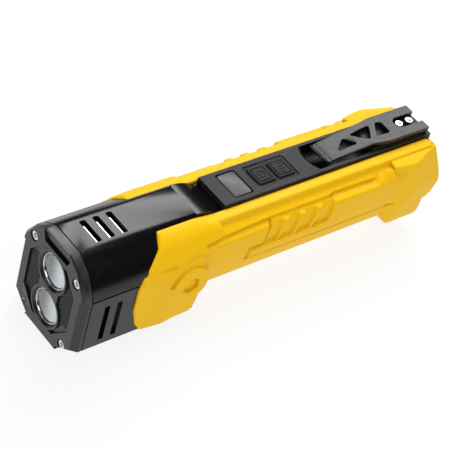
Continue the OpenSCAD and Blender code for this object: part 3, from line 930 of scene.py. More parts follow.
@dataclass
class ProtectiveSleeve:
    """Yellow rubber sleeve: two cheeks with a boss, a ribbed grip and a faceted tail."""

    voxel: float = 0.45
    kept_share: float = 0.42
    gap: float = 0.1
    head_gap: float = -0.7
    head_end: float = 62.0
    case_end: float = 198.6
    panel_half_width: float = 9.9
    edge: float = 1.5
    least_wall: float = 1.2
    boss_centre: Point2 = (55.8, 24.9)
    boss_radius: float = 9.4
    cheek: list[Point2] = field(
        default_factory=lambda: [
            (28, 21), (28, 33), (30.3, 38), (34.5, 42), (38, 45.5), (41, 50.0), (61, 50.0),
            (70, 48.3), (74, 44.0),
            (78, 40), (78, 20), (65.5, 20), (62.3, 11), (60, 7.6), (46, 6.8), (34, 7.6), (30.6, 12),
        ]
    )
    grip: list[Point2] = field(
        default_factory=lambda: [
            (9.6, 4.9), (18.5, 16), (20.6, 24), (21.9, 36.5), (21.5, 41.0), (19.3, 43.6),
            (17.0, 45.0), (9, 46.2)
        ]
    )
    lip: list[Point2] = field(default_factory=lambda: [(15.6, 40), (14.9, 48.4)])

    def build(self) -> None:
        """Makes the sleeve and puts it on the lamp."""
        step = self.voxel
        s = np.arange(26.0, LENGTH + 1.5 * step, step)
        half = np.arange(0.0, 25.2, step)
        z = np.arange(-1.5 * step, 52.0, step)
        stations = s[:, None, None].astype(np.float32)
        sides = half[None, :, None].astype(np.float32)
        heights = z[None, None, :].astype(np.float32)
        whole = self.measure(stations, sides, heights)
        both = np.concatenate([whole[:, :0:-1], whole], 1)[::-1]
        axes = ((LENGTH / 2 - s)[::-1], np.concatenate([-half[:0:-1], half]), z)
        made = Skin(axes, np.ascontiguousarray(both), self.at_rows).to_object("sleeve", self.kept_share)
        dress(made, SLEEVE_RUBBER, nodes=("protective_sleeve",))

    def at_rows(self, at: np.ndarray) -> np.ndarray:
        """The whole field at rows of X, Y and Z."""
        return self.measure(LENGTH / 2 - at[:, 0], np.abs(at[:, 1]), at[:, 2])

    def measure(self, s: np.ndarray, y: np.ndarray, z: np.ndarray) -> np.ndarray:
        """The whole field: the outer form less the space for the lamp."""
        return smooth_max(self.outside(s, y, z), -self.inside(s, y, z), 0.5)

    def outside(self, s: np.ndarray, y: np.ndarray, z: np.ndarray) -> np.ndarray:
        """The outer form: cheeks, grip, lip, tail and boss, with their relief.

        Args:
            s: stations.
            y: sides.
            z: heights.

        Returns:
            The field.
        """
        k = self.edge
        tail = LENGTH
        proud = 0.55 + 0.75 * ramp((s - 30) / 18)
        cheek = smooth_max(half_section(y, z, HEAD_HALF, proud, 1.0), in_outline(s, z, self.cheek), 1.1)
        cheek = smooth_max(cheek, (y + 0.55 * (s - 62.8) - 23.2) / 1.14, 2.0)
        run = [
            (57, 12), (48, 30), (46.5, 37), (48.5, 40.2), (64, 47.2), (66, 49), (tail - 7, 49),
            (tail - 3, 46), (tail, 34), (tail, 20), (tail - 6, 4.9), (66, 4.9),
        ]
        profile = in_outline(s, z, run)
        body = half_section(y, z, self.grip, 0, k)
        rim = smooth_max(
            smooth_max(y - self.lip[1][0] - 0.08 * (48.4 - z), z - self.lip[1][1], 1.0), 40 - z, 0.5
        )
        section = smooth_min(body, rim, 1.0)
        start = [(60, 12), (60, 49), (tail - 6.5, 49), (tail - 6.5, 12)]
        grip = smooth_max(section, profile, k)
        grip = smooth_max(grip, np.where(z > 46.6, in_outline(s, z, start), -9.0), 1.0)
        outer = smooth_min(cheek, grip, 1.2)
        outer = smooth_min(outer, self.tail_block(s, y, z), 0.5)
        for a, b, c in (
            ((181.0, 21.3, 47.0), (192.0, 22.3, 36.0), (205.6, 18.9, 33.5)),
            ((205.6, 12.9, 43.0), (205.6, 19.2, 33.5), (197.0, 18.2, 48.4)),
        ):
            outer = smooth_max(outer, facet(s, y, z, a, b, c), 0.4)
        outer = outer - self.relief(s, z) * ramp((y - 16.0) / 2.0)
        centre = np.hypot(s - self.boss_centre[0], z - self.boss_centre[1])
        pocket = np.hypot(s - self.boss_centre[0] - 0.9, z - self.boss_centre[1] - 2.6) - 12.4
        above = (self.boss_centre[1] + 1.5 - z) * 0.8
        hollow = smooth_max(smooth_max(pocket, above, 1.5), 21.2 - y, 0.9)
        outer = smooth_max(outer, -hollow, 0.7)
        least = np.maximum(
            half_section(y, z, HEAD_HALF, self.head_gap + self.least_wall, 0.3), s - self.head_end
        )
        outer = np.minimum(outer, np.maximum(least, in_outline(s, z, self.cheek) + 0.5))
        around = half_section(y, z, CASE_HALF, self.gap + 0.85, 0.3)
        outer = np.minimum(outer, np.maximum(np.maximum(around, self.head_end - s), s - self.case_end - 1.5))
        boss = smooth_max(centre - self.boss_radius, y - 24.1, 0.9)
        outer = smooth_min(outer, smooth_max(boss, 18 - y, 0.5), 0.35)
        hexagon = np.maximum.reduce(
            [
                abs((s - self.boss_centre[0]) * math.cos(a) + (z - self.boss_centre[1]) * math.sin(a))
                for a in (0, math.pi / 3, -math.pi / 3)
            ]
        )
        return smooth_max(outer, -smooth_max(hexagon - 3.75, 22.7 - y, 0.3), 0.4)

    def tail_block(self, s: np.ndarray, y: np.ndarray, z: np.ndarray) -> np.ndarray:
        """The faceted bumper at the tail with its foot.

        Args:
            s: stations.
            y: sides.
            z: heights.

        Returns:
            The field.
        """
        tail = LENGTH
        apex = (191.0, 23.3, 34.5)
        foot = [
            (172.5, 18.5), (179.0, 9.5), (189.5, 0), (tail - 11.6, 0), (tail - 4.8, 8), (tail - 4.8, 18),
            (tail, 20), (tail, 34), (tail - 5.6, 46), (tail - 10, 47.4), (171.5, 47.4),
        ]
        block = in_outline(s, z, foot)
        for a, b in (
            ((175.4, 20.2, 22.0), (179.5, 20.6, 46.5)),
            ((181.5, 21.6, 19.0), (198.5, 20.2, 17.0)),
            ((198.5, 20.2, 19.0), (205.6, 17.0, 32.0)),
        ):
            block = smooth_max(block, facet(s, y, z, apex, a, b), 0.45)
        section = half_section(y, z, [(13.2, 0), (20.4, 10.6), (23.3, 30), (20.6, 46), (14, 47.6)], 0, 0.8)
        return smooth_max(block, section, 0.8)

    def relief(self, s: np.ndarray, z: np.ndarray) -> np.ndarray:
        """Raised and sunk figures on the side faces.

        Args:
            s: stations.
            z: heights.

        Returns:
            How far the surface stands out.
        """
        rise = np.zeros(np.broadcast(s, z).shape, np.float32)
        rise += 0.5 * ramp(0.5 - (z - 38.0 + 0.05 * (s - 27)) / 0.8) * (1 - ramp((s - 43) / 8))
        sunk = [(97.2, 43.4), (95.9, 30.9), (132.4, 30.9), (133.9, 43.4)]
        pad = [
            (87.9, 24.6), (88.2, 30.7), (95.9, 30.9), (132.6, 30.9), (133.9, 42.3),
            (160.9, 42.1), (164.2, 47.5), (170.5, 47.5), (176.5, 24.2),
        ]
        rise -= 0.8 * ramp(0.5 - in_outline(s, z, sunk) / 0.8)
        rise += 0.75 * ramp(0.5 - in_outline(s, z, pad) / 0.9)
        for low, high in (
            ((102.2, 103.9), (104.0, 107.8)),
            ((111.6, 113.6), (113.3, 117.1)),
            ((121.2, 123.4), (123.4, 127.3)),
        ):
            bar = [(low[0], 30.8), (low[1], 30.8), (high[1], 41.9), (high[0], 41.9)]
            rise += 1.25 * ramp(0.5 - in_outline(s, z, bar) / 0.9)
        for width, depth, line in (
            (1.2, 1.15, [(63.0, 41.6), (95.8, 42.5), (97.3, 42.2), (96.2, 33.5)]),
            (1.2, 1.0, [(88.2, 24.3), (177.0, 23.9)]),
            (1.0, 0.9, [(88.0, 24.6), (88.2, 30.8), (95.9, 31.0)]),
            (1.2, 1.15, [(133.6, 42.9), (161.0, 42.7), (163.6, 45.2), (164.6, 47.5)]),
            (0.95, 0.7, [(27.0, 38.9), (46.4, 37.9)]),
        ):
            rise -= depth * ramp(1.15 - to_line(s, z, line) / width)
        valley = [(164.5, 47.5), (168.5, 40.0), (172.5, 25.5)]
        return rise - 0.7 * ramp(1 - to_line(s, z, valley) / 3.6)

    def inside(self, s: np.ndarray, y: np.ndarray, z: np.ndarray) -> np.ndarray:
        """The space for the head, the case and the panel.

        Args:
            s: stations.
            y: sides.
            z: heights.

        Returns:
            The field.
        """
        sharp = 0.02
        head = np.maximum(half_section(y, z, HEAD_HALF, self.head_gap, sharp), s - self.head_end + 0.5)
        case = half_section(y, z, CASE_HALF, self.gap, sharp)
        ends = np.maximum(self.head_end - s, s - self.case_end - self.gap)
        slab = y - self.panel_half_width
        panel = np.maximum(np.maximum(slab, 44 - z), s - self.case_end - self.gap)
        over = np.maximum(slab, 46.8 - z)
        return np.minimum(np.minimum(head, np.maximum(case, ends)), np.minimum(panel, over))


# ---------------------------------------------------------------- repeated parts from geometry nodes


def new_tree(name: str, sizes: dict[str, str]) -> tuple[Tree, bpy.types.Node]:
    """Starts a geometry tree with named inputs.

    Args:
        name: the tree's name.
        sizes: input name to socket type.

    Returns:
        The tree and its group input node.
    """
    tree = bpy.data.node_groups.new(name, "GeometryNodeTree")
    tree.interface.new_socket("Geometry", in_out="INPUT", socket_type="NodeSocketGeometry")
    for label, kind in sizes.items():
        tree.interface.new_socket(label, in_out="INPUT", socket_type=kind)
    tree.interface.new_socket("Geometry", in_out="OUTPUT", socket_type="NodeSocketGeometry")
    return tree, add_node(tree, "NodeGroupInput")


def close_tree(tree: Tree, places: Socket, shape: Socket, turn: Socket, material: Socket) -> None:
    """Ends a tree: one shape on each point, made real and painted.

    Args:
        tree: the tree.
        places: output with the points.
        shape: output with the shape.
        turn: output with the rotation of each shape.
        material: output with the material.
    """
    copies = add_node(
        tree, "GeometryNodeInstanceOnPoints", {"Points": places, "Instance": shape, "Rotation": turn}
    )
    real = add_node(tree, "GeometryNodeRealizeInstances", {0: copies.outputs[0]})
    painted = add_node(tree, "GeometryNodeSetMaterial", {"Geometry": real.outputs[0], "Material": material})
    add_node(tree, "NodeGroupOutput", {0: painted.outputs[0]})


def fastener_tree() -> Tree:
    """A tree that sets one socket-head screw on each point.

    Returns:
        The tree.
    """
    number = "NodeSocketFloat"
    tree, given = new_tree(
        "socket_screws",
        {
            "Head radius": number,
            "Head height": number,
            "Socket radius": number,
            "Socket depth": number,
            "Turn": "NodeSocketVector",
            "Material": "NodeSocketMaterial",
        },
    )
    out = given.outputs
    head = add_node(
        tree, "GeometryNodeMeshCylinder", {
            "Vertices": 48, "Radius": out["Head radius"], "Depth": out["Head height"]
        }
    )
    twice = add_node(tree, "ShaderNodeMath", {0: out["Socket depth"], 1: 2.0}, operation="MULTIPLY")
    socket = add_node(
        tree, "GeometryNodeMeshCylinder", {
            "Vertices": 6, "Radius": out["Socket radius"], "Depth": twice.outputs[0]
        }
    )
    top = add_node(tree, "ShaderNodeMath", {0: out["Head height"], 1: 0.5}, operation="MULTIPLY")
    lift = add_node(tree, "ShaderNodeCombineXYZ", {"Z": top.outputs[0]})
    raised = add_node(
        tree, "GeometryNodeTransform", {"Geometry": socket.outputs["Mesh"], "Translation": lift.outputs[0]}
    )
    cut = add_node(tree, "GeometryNodeMeshBoolean", operation="DIFFERENCE", solver="EXACT")
    tree.links.new(head.outputs["Mesh"], cut.inputs[0])
    tree.links.new(raised.outputs[0], cut.inputs[1])
    close_tree(tree, out["Geometry"], cut.outputs[0], out["Turn"], out["Material"])
    return tree


def knurl_tree() -> Tree:
    """A tree that sets one small pyramid on each point.

    Returns:
        The tree.
    """
    tree, given = new_tree(
        "pyramid_knurl",
        {
            "Base radius": "NodeSocketFloat",
            "Height": "NodeSocketFloat",
            "Turn": "NodeSocketVector",
            "Material": "NodeSocketMaterial",
        },
    )
    out = given.outputs
    tooth = add_node(
        tree,
        "GeometryNodeMeshCone",
        {"Vertices": 4, "Radius Top": 0.0, "Radius Bottom": out["Base radius"], "Depth": out["Height"]},
    )
    close_tree(tree, out["Geometry"], tooth.outputs["Mesh"], out["Turn"], out["Material"])
    return tree


def grow(name: str, tree: Tree, places: list[Point3], sizes: dict[str, object]) -> Thing:
    """Runs a geometry tree on some points.

    Args:
        name: the piece's name.
        tree: the tree.
        places: points in millimetres.
        sizes: value of each named input.

    Returns:
        The piece as a plain mesh.
    """
    made = mesh_object(name, places, [])
    step = made.modifiers.new("grow", "NODES")
    step.node_group = tree
    for item in tree.interface.items_tree:
        if item.in_out == "INPUT" and item.name in sizes:
            step[item.identifier] = sizes[item.name]
    return freeze(made)


# ---------------------------------------------------------------- the head


@dataclass
class Bezel:
    """Front frame with its brow, its two knurled pockets, the lens rims and four screws."""

    depth: float = 4.4
    lens_offset: float = 10.0
    lens_radius: float = 8.2
    rim_radius: float = 9.9
    glass_front: float = 2.4
    glass_radius: float = 8.8
    pocket_depth: float = 1.25
    knurl_pitch: float = 1.15
    screws: list[Point2] = field(
        default_factory=lambda: [(15.1, 17.1), (-15.1, 17.1), (14.5, -18.5), (-14.5, -18.5)]
    )
    screw_radius: float = 2.15
    pocket: list[Point2] = field(
        default_factory=lambda: [
            (4.6, 18.3), (8.5, 18.3), (15.9, 9.2), (15.9, -9.8), (7.3, -18.9), (4.6, -18.9),
        ]
    )

    def build(self) -> None:
        """Makes the bezel, its knurl and its screws."""
        body = prism("bezel_frame", closed(HEAD_HALF), 0, self.depth)
        body = carve(body, self.edges() + self.openings() + [self.brow(), self.brow_slot()])
        body = carve(body, [self.pocket_cutter(side) for side in (1, -1)])
        body = soften(body, 0.22)
        dress(body, BEZEL_NYLON, nodes=("bezel",))
        self.knurl()
        self.fasteners()

    def edge_wedge(self, a: Point2, b: Point2, inset: float, back: float, ends: float = 3.0) -> Thing:
        """A wedge that slopes one edge of the front face.

        Args:
            a: first point of the outline's edge.
            b: second point.
            inset: how far in the slope starts on the front plane.
            back: the station where it meets the outline.
            ends: how far the wedge runs past the edge's ends.

        Returns:
            The wedge.
        """
        along = Vector((b[0] - a[0], b[1] - a[1])).normalized()
        out = Vector((along.y, -along.x))
        if out.x * (a[0] + b[0]) + out.y * (a[1] + b[1] - 2 * AXIS_HEIGHT) < 0:
            out = -out
        lead = 0.5
        points = []
        for corner, sign in ((a, -1), (b, 1)):
            at = Vector(corner) + along * sign * ends
            for s, off in ((-lead, -inset * (1 + lead / back)), (-lead, 2.0), (back, 2.0), (back, 0.0)):
                spot = at + out * off
                points.append((x_at(s), spot.x, spot.y))
        return hull("edge_wedge", points)

    def edges(self) -> list[Thing]:
        """Wedges for the sloped rims of the front face.

        Returns:
            The wedges.
        """
        made = []
        for side in (1, -1):
            low, knee, shoulder = (side * 12.2, 0.0), (side * 22.2, 7.3), (side * 22.2, 35.3)
            made.append(self.edge_wedge(knee, shoulder, 2.2, 3.2, ends=0.0))
            made.append(self.edge_wedge(low, knee, 1.8, 3.0, ends=0.6))
            made.append(self.edge_wedge((side * 22.2, 34.9), (side * 21.4, 38.5), 1.1, 1.2))
            made.append(self.edge_wedge((side * 21.4, 38.5), (side * 16.2, 46.4), 1.1, 1.2))
            made.append(self.edge_wedge((side * 16.2, 46.4), (side * 8.5, 51.2), 0.5, 0.6))
        return made

    def rod(
        self, radius: float, front: float, rear: float, y: float, z: float, rear_radius: float | None = None
    ) -> Thing:
        """A rod or cone along the lamp, as a cutter.

        Args:
            radius: radius at the front.
            front: first station.
            rear: last station.
            y: side.
            z: height from the lens axis.
            rear_radius: radius at the rear, where it differs.

        Returns:
            The solid.
        """
        sides = 72
        rear_radius = radius if rear_radius is None else rear_radius
        angles = [2 * math.pi * i / sides for i in range(sides)]
        points = [
            (x_at(s), y + r * math.cos(a), AXIS_HEIGHT + z + r * math.sin(a))
            for s, r in ((front, radius), (rear, rear_radius))
            for a in angles
        ]
        faces = [[i, (i + 1) % sides, sides + (i + 1) % sides, sides + i] for i in range(sides)]
        faces += [list(range(sides)), list(range(sides, 2 * sides))]
        return turn_outward(mesh_object("rod", points, faces))

    def openings(self) -> list[Thing]:
        """Cutters for the lens openings and the screw holes.

        Returns:
            The cutters.
        """
        made = []
        for sign in (1, -1):
            z = sign * self.lens_offset
            made.append(self.rod(self.lens_radius, -1, self.depth + 1, 0, z))
            made.append(self.rod(self.lens_radius + 1.0, -0.3, 1.0, 0, z, self.lens_radius - 0.1))
            made.append(self.rod(self.glass_radius, self.glass_front, self.depth + 1, 0, z))
        for y, z in self.screws:
            made.append(self.rod(self.screw_radius + 0.3, -1, 2.1, y, z))
            made.append(self.rod(1.25, -1, self.depth + 1, y, z))
        return made

    def brow(self) -> Thing:
        """Cutter for the sloped recess above the lenses."""
        points = []
        for s, z, wide in ((-0.6, 26.1, 10.0), (-0.6, 21.3, 8.2), (0.7, 25.6, 9.8), (1.15, 21.3, 8.0)):
            points += [(x_at(s), wide, AXIS_HEIGHT + z), (x_at(s), -wide, AXIS_HEIGHT + z)]
        return hull("brow", points)

    def brow_slot(self) -> Thing:
        """Cutter for the dark slot at the foot of the brow."""
        return hull(
            "brow_slot",
            [
                (x_at(s), side * 7.9, AXIS_HEIGHT + z)
                for s in (-0.6, 3.0)
                for z in (20.75, 22.25)
                for side in (1, -1)
            ],
        )

    def pocket_cutter(self, side: int) -> Thing:
        """Cutter for the pocket on one side.

        Args:
            side: one for the left, minus one for the right.

        Returns:
            The cutter.
        """
        outline = [(side * y, AXIS_HEIGHT + z) for y, z in self.pocket]
        made = prism("pocket", outline, -1, self.pocket_depth)
        keep = [
            self.rod(self.rim_radius, -2, self.depth + 2, 0, sign * self.lens_offset) for sign in (1, -1)
        ]
        waist = [
            (-6.6, AXIS_HEIGHT - 5), (6.6, AXIS_HEIGHT - 5), (6.6, AXIS_HEIGHT + 5), (-6.6, AXIS_HEIGHT + 5)
        ]
        keep.append(prism("waist", waist, -2, self.depth + 2))
        return carve(made, keep)

    def knurl(self) -> None:
        """Sets the pyramids on both pocket floors."""
        pitch = self.knurl_pitch
        count = int(20 / pitch)
        places = []
        for row in range(-count, count + 1):
            for column in range(count):
                y = 5.2 + column * pitch + (row % 2) * pitch / 2
                z = row * pitch / 2
                at = (np.array([y]), np.array([z]))
                clear = min(math.hypot(y, z - 10), math.hypot(y, z + 10)) - self.rim_radius
                waist = max(y - 6.6, abs(z) - 5)
                if in_outline(*at, self.pocket)[0] < -0.5 and clear > 0.45 and waist > 0.45:
                    places += [
                        (x_at(self.pocket_depth - 0.2), side * y, AXIS_HEIGHT + z) for side in (1, -1)
                    ]
        sizes = {
            "Base radius": 0.44 * MM,
            "Height": 0.5 * MM,
            "Turn": (0.0, math.pi / 2, 0.0),
            "Material": Paint.of(KNURL_PAINTED_HIGHLIGHT),
        }
        # The teeth's paler grey is painted highlight.
        dress(grow("bezel_knurl", knurl_tree(), places, sizes), KNURL_PAINTED_HIGHLIGHT)

    def fasteners(self) -> None:
        """Sets the four socket screws."""
        height = 1.6
        places = [(x_at(0.5 + height / 2), y, AXIS_HEIGHT + z) for y, z in self.screws]
        sizes = {
            "Head radius": self.screw_radius * MM,
            "Head height": height * MM,
            "Socket radius": 1.15 * MM,
            "Socket depth": 0.9 * MM,
            "Turn": (0.0, math.pi / 2, 0.0),
            "Material": Paint.of(SCREW_STEEL),
        }
        made = soften(grow("bezel_screw_heads", fastener_tree(), places, sizes), 0.25, angle=40)
        dress(made, SCREW_STEEL, nodes=("bezel_screws",))


@dataclass
class Optics:
    """Lens glass, trim rings, reflector cups and emitters behind the two openings."""

    heights: tuple[float, float] = (34.1, 14.1)
    names: tuple[str, str] = ("upper", "lower")

    def build(self) -> None:
        """Makes both lens stacks."""
        for height, name in zip(self.heights, self.names):
            self.glass(name, height)
            self.trim(name, height)
            self.cup(name, height)
            self.guide(name, height)
        self.emitters()

    def glass(self, name: str, height: float) -> None:
        """One window with a ground edge and a slight crown.

        Args:
            name: which lens.
            height: height of its centre.
        """
        crown = [(0.85 + 0.6 * (r / 7.4) ** 2, r) for r in np.linspace(0.01, 7.4, 9)] + [(2.4, 7.42)]
        profile = crown + [(2.45, 8.55), (2.55, 8.7), (2.85, 8.7), (2.9, 8.6), (2.9, 0.01)]
        made = spun(f"lens_glass_{name}", profile, height)
        shade_smooth(made)
        dress(made, LENS_GLASS, nodes=(f"lens_{name}",))

    def trim(self, name: str, height: float) -> None:
        """One bright trim ring with rolled edges.

        Args:
            name: which lens.
            height: height of its centre.
        """
        profile = [(1.25, 8.1), (1.1, 7.95), (1.1, 7.7), (1.25, 7.55), (2.1, 7.5), (2.2, 7.6), (2.2, 8.1)]
        made = soften(spun(f"lens_trim_{name}", profile, height), 0.05, angle=60)
        dress(made, TRIM_CHROME, nodes=(f"lens_ring_{name}",))

    def cup(self, name: str, height: float) -> None:
        """One parabolic reflector with a rolled rim.

        Args:
            name: which lens.
            height: height of its centre.
        """
        front, rear = 5.0, 16.8
        bowl = 10.4
        inner = [(rear, 3.0)] + [
            (bowl - (bowl - front) * t * t, 3.0 + 4.9 * t) for t in np.linspace(0, 1, 14)
        ]
        outer = [(front, 8.6), (front + 0.8, 8.6), (9.4, 7.2), (rear - 1.5, 4.8), (rear, 4.6)]
        made = spun(f"reflector_cup_{name}", inner + outer, height)
        shade_smooth(made)
        dress(made, MIRROR, nodes=(f"reflector_{name}",))

    def guide(self, name: str, height: float) -> None:
        """The silvered light guide that fills the view behind the glass.

        Args:
            name: which lens.
            height: height of its centre.
        """
        profile = [
            (1.9, 0.01), (1.95, 2.6), (2.1, 4.6), (2.0, 5.6), (1.72, 6.6), (1.85, 7.2),
            (2.7, 7.2), (2.7, 0.01),
        ]
        made = spun(f"light_guide_{name}", profile, height)
        shade_smooth(made)
        made.data.set_sharp_from_angle(angle=math.radians(35))
        # Its finish paints the reflection as a bright left side fading to grey on the right.
        dress(made, GUIDE_ACRYLIC)

    def emitters(self) -> None:
        """Square emitter blocks with domed caps."""
        parts = []
        for height in self.heights:
            dome = [
                (16.9 - 1.3 * math.cos(a), max(0.01, 1.3 * math.sin(a))) for a in np.linspace(0, 1.57, 8)
            ]
            parts.append(spun("dome", dome + [(17.0, 1.3), (17.0, 0.01)], height, 32))
            square = [
                (-1.75, height - 1.75), (1.75, height - 1.75), (1.75, height + 1.75), (-1.75, height + 1.75)
            ]
            parts.append(prism("block", square, 16.5, 17.1))
        made = carve(parts[0], parts[1:], "UNION")
        made.name = "emitter_domes"
        made = soften(made, 0.08, angle=50)
        dress(made, PHOSPHOR, nodes=("led_emitters",))


# ---------------------------------------------------------------- moulded parts that keep the frame's shape


@dataclass
class MouldedPart:
    """A part with the frame's own form, given rounded mould edges."""

    node: str
    piece: str
    finish: Finish
    slot: str
    edge: float = 0.3
    segments: int = 2
    body: Body = Body.LAMP

    def build(self) -> None:
        """Copies the node, rounds its edges and puts the copy in its place."""
        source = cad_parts[self.node]
        made = bpy.data.objects.new(self.piece, source.data.copy())
        bpy.context.scene.collection.objects.link(made)
        for name in [a.name for a in made.data.attributes if a.name == "custom_normal"]:
            made.data.attributes.remove(made.data.attributes[name])
        turn_outward(made)
        made = soften(made, self.edge, self.segments)
        dress(made, self.finish, self.body, (self.node,))


MOULDED: list[MouldedPart] = [
    MouldedPart("head_shell", "head_housing", GLOSS_SHELL, "shell_gloss_black", 0.5, 4),
    MouldedPart("upper_case", "control_panel", SATIN_CASE, "case_black", 0.3, 3),
    MouldedPart("lower_case", "lower_housing", SATIN_CASE, "case_black", 0.3),
    MouldedPart("button_frame", "key_surround", FRAME_RUBBER, "key_rubber", 0.25, 3),
]


@dataclass
class DisplayCover:
    """Smoked window with a rolled edge, a narrow gap round it."""

    front: float = 85.1
    rear: float = 95.5
    half_width: float = 7.5
    top: float = 49.86
    gap: float = 0.42
    corner: float = 1.2

    def build(self) -> None:
        """Makes the window from stacked rounded rings."""
        middle = (self.front + self.rear) / 2
        size = ((self.rear - self.front) / 2 - self.gap, self.half_width - self.gap)
        levels = [(0.0, 48.2), (0.0, self.top - 0.35), (0.1, self.top - 0.1), (0.35, self.top)]
        rings = [rounded_ring(x_at(middle), size, self.corner, inset, z) for inset, z in levels]
        made = stacked("display_cover", rings)
        for face in made.data.polygons:
            face.use_smooth = True
        made.data.set_sharp_from_angle(angle=math.radians(50))
        dress(made, WINDOW_ACRYLIC, nodes=("display_window",))


@dataclass
class ThumbScoop:
    """The bowl-shaped ramp that leads a thumb under the clip's tip."""

    front: float = 128.6
    rear: float = 139.0
    half_width: float = 7.9
    top: float = 49.86
    floor: float = 44.75

    def height(self, station: float, side: float) -> float:
        """Height of the ramp at one place."""
        late = 2.6 * (side / self.half_width) ** 2
        t = min(1.0, max(0.0, (station - self.front - 2.2 - late) / (self.rear - self.front - 5.0)))
        return self.top - (self.top - self.floor) * (1 - math.cos(math.pi * t)) / 2

    def build(self) -> None:
        """Makes the ramp as a closed solid."""
        stations = np.linspace(self.front, self.rear, 33)
        sides = np.linspace(-self.half_width, self.half_width, 25)
        rows, columns = len(stations), len(sides)
        tops = [(x_at(s), y, self.height(s, y)) for s in stations for y in sides]
        lows = [(x_at(s), y, self.floor - 0.02) for s in stations for y in sides]
        faces = []
        for base in (0, rows * columns):
            for i in range(rows - 1):
                for j in range(columns - 1):
                    a = base + i * columns + j
                    faces.append([a, a + 1, a + columns + 1, a + columns])
        loop = list(range(columns)) + [i * columns + columns - 1 for i in range(1, rows)]
        loop += [(rows - 1) * columns + j for j in range(columns - 2, -1, -1)]
        loop += [i * columns for i in range(rows - 2, 0, -1)]
        for a, b in zip(loop, loop[1:] + loop[:1]):
            faces.append([a, b, b + rows * columns, a + rows * columns])
        made = turn_outward(mesh_object("thumb_scoop", tops + lows, faces))
        for face in made.data.polygons:
            face.use_smooth = True
        made.data.set_sharp_from_angle(angle=math.radians(60))
        dress(made, SATIN_CASE)


@dataclass
class VentFins:
    """Tips of the heat sink's fins, seen through the three top vents."""

    vents: tuple[float, ...] = (13.8, 20.2, 26.6)
    height: float = 49.8

    def build(self) -> None:
        """Makes one thin fin tip under the front edge of each vent."""
        tips = []
        for vent in self.vents:
            front = vent + 1.15
            outline = [
                (-4.6, self.height - 0.8), (5.6, self.height - 0.8), (5.6, self.height), (-4.6, self.height)
            ]
            tips.append(prism("tip", outline, front, front + 0.6))
        made = carve(tips[0], tips[1:], "UNION")
        made.name = "vent_fin_tips"
        dress(soften(made, 0.12), FIN_ALLOY)


# ---------------------------------------------------------------- keys


@dataclass
class Key:
    """A soft key with a sunk frame line and a raised mark."""

    name: str
    node: str
    body: Body
    station: float
    half_length: float = 4.65
    half_width: float = 5.2
    top: float = 50.3
    shoulder: float = 46.45
    flange: float = 0.6
    corner: float = 1.2

    def ring(self, inset: float, height: float) -> list[Point3]:
        """A rounded rectangle of points round the key."""
        return rounded_ring(
            x_at(self.station), (self.half_length, self.half_width), self.corner, inset, height
        )

    def build(self) -> None:
        """Makes the key with its mark."""
        t = self.top
        rings = [
            self.ring(-self.flange, self.shoulder - 0.75), self.ring(-self.flange, self.shoulder),
            self.ring(0, self.shoulder), self.ring(0, t - 0.4), self.ring(0.1, t - 0.12), self.ring(0.32, t),
            self.ring(0.85, t), self.ring(0.98, t - 0.1), self.ring(1.05, t - 0.42),
            self.ring(1.35, t - 0.42),
            self.ring(1.42, t - 0.12), self.ring(1.6, t - 0.02),
        ]
        made = stacked(self.name, rings)
        made = carve(made, self.mark(), "UNION")
        made = soften(made, 0.06, 2, 50)
        dress(made, KEY_RUBBER, self.body, (self.node,))

    def stroke(self, path: list[Point2], width: float = 0.6) -> Thing:
        """A raised line of even width on the key's top.

        Args:
            path: points as (forward, side) from the key's centre.
            width: its width.

        Returns:
            The solid.
        """
        line = [Vector(p) for p in path]
        left, right = [], []
        for i, at in enumerate(line):
            ahead = (line[min(i + 1, len(line) - 1)] - line[max(i - 1, 0)]).normalized()
            out = Vector((-ahead.y, ahead.x)) * width / 2
            left.append(at + out)
            right.append(at - out)
        ring = left + right[::-1]
        count = len(ring)
        low, high = self.top - 0.3, self.top + 0.3
        points = [(x_at(self.station) + p.x, p.y, z) for z in (low, high) for p in ring]
        half = count // 2
        faces = [[i, (i + 1) % count, count + (i + 1) % count, count + i] for i in range(count)]
        for base in (0, count):
            faces += [
                [base + i, base + i + 1, base + count - 2 - i, base + count - 1 - i] for i in range(half - 1)
            ]
        return turn_outward(mesh_object("stroke", points, faces))

    def mark(self) -> list[Thing]:
        """The on-off sign: a ring open to the front, with a bar in the gap."""
        arc = [(2.0 * math.cos(a), 2.0 * math.sin(a)) for a in np.linspace(0.75, 2 * math.pi - 0.75, 28)]
        return [self.stroke(arc), self.stroke([(0.2, 0.0), (2.2, 0.0)])]


@dataclass
class ModeKey(Key):
    """The rear key, whose mark is a plain set of rising bars."""

    def mark(self) -> list[Thing]:
        """Four bars that grow in length, for the steps of brightness."""
        return [
            self.stroke([(-1.5, y), (-1.5 + length, y)])
            for y, length in ((-2.4, 0.9), (-0.8, 1.6), (0.8, 2.3), (2.4, 3.0))
        ]


# ---------------------------------------------------------------- belt clip


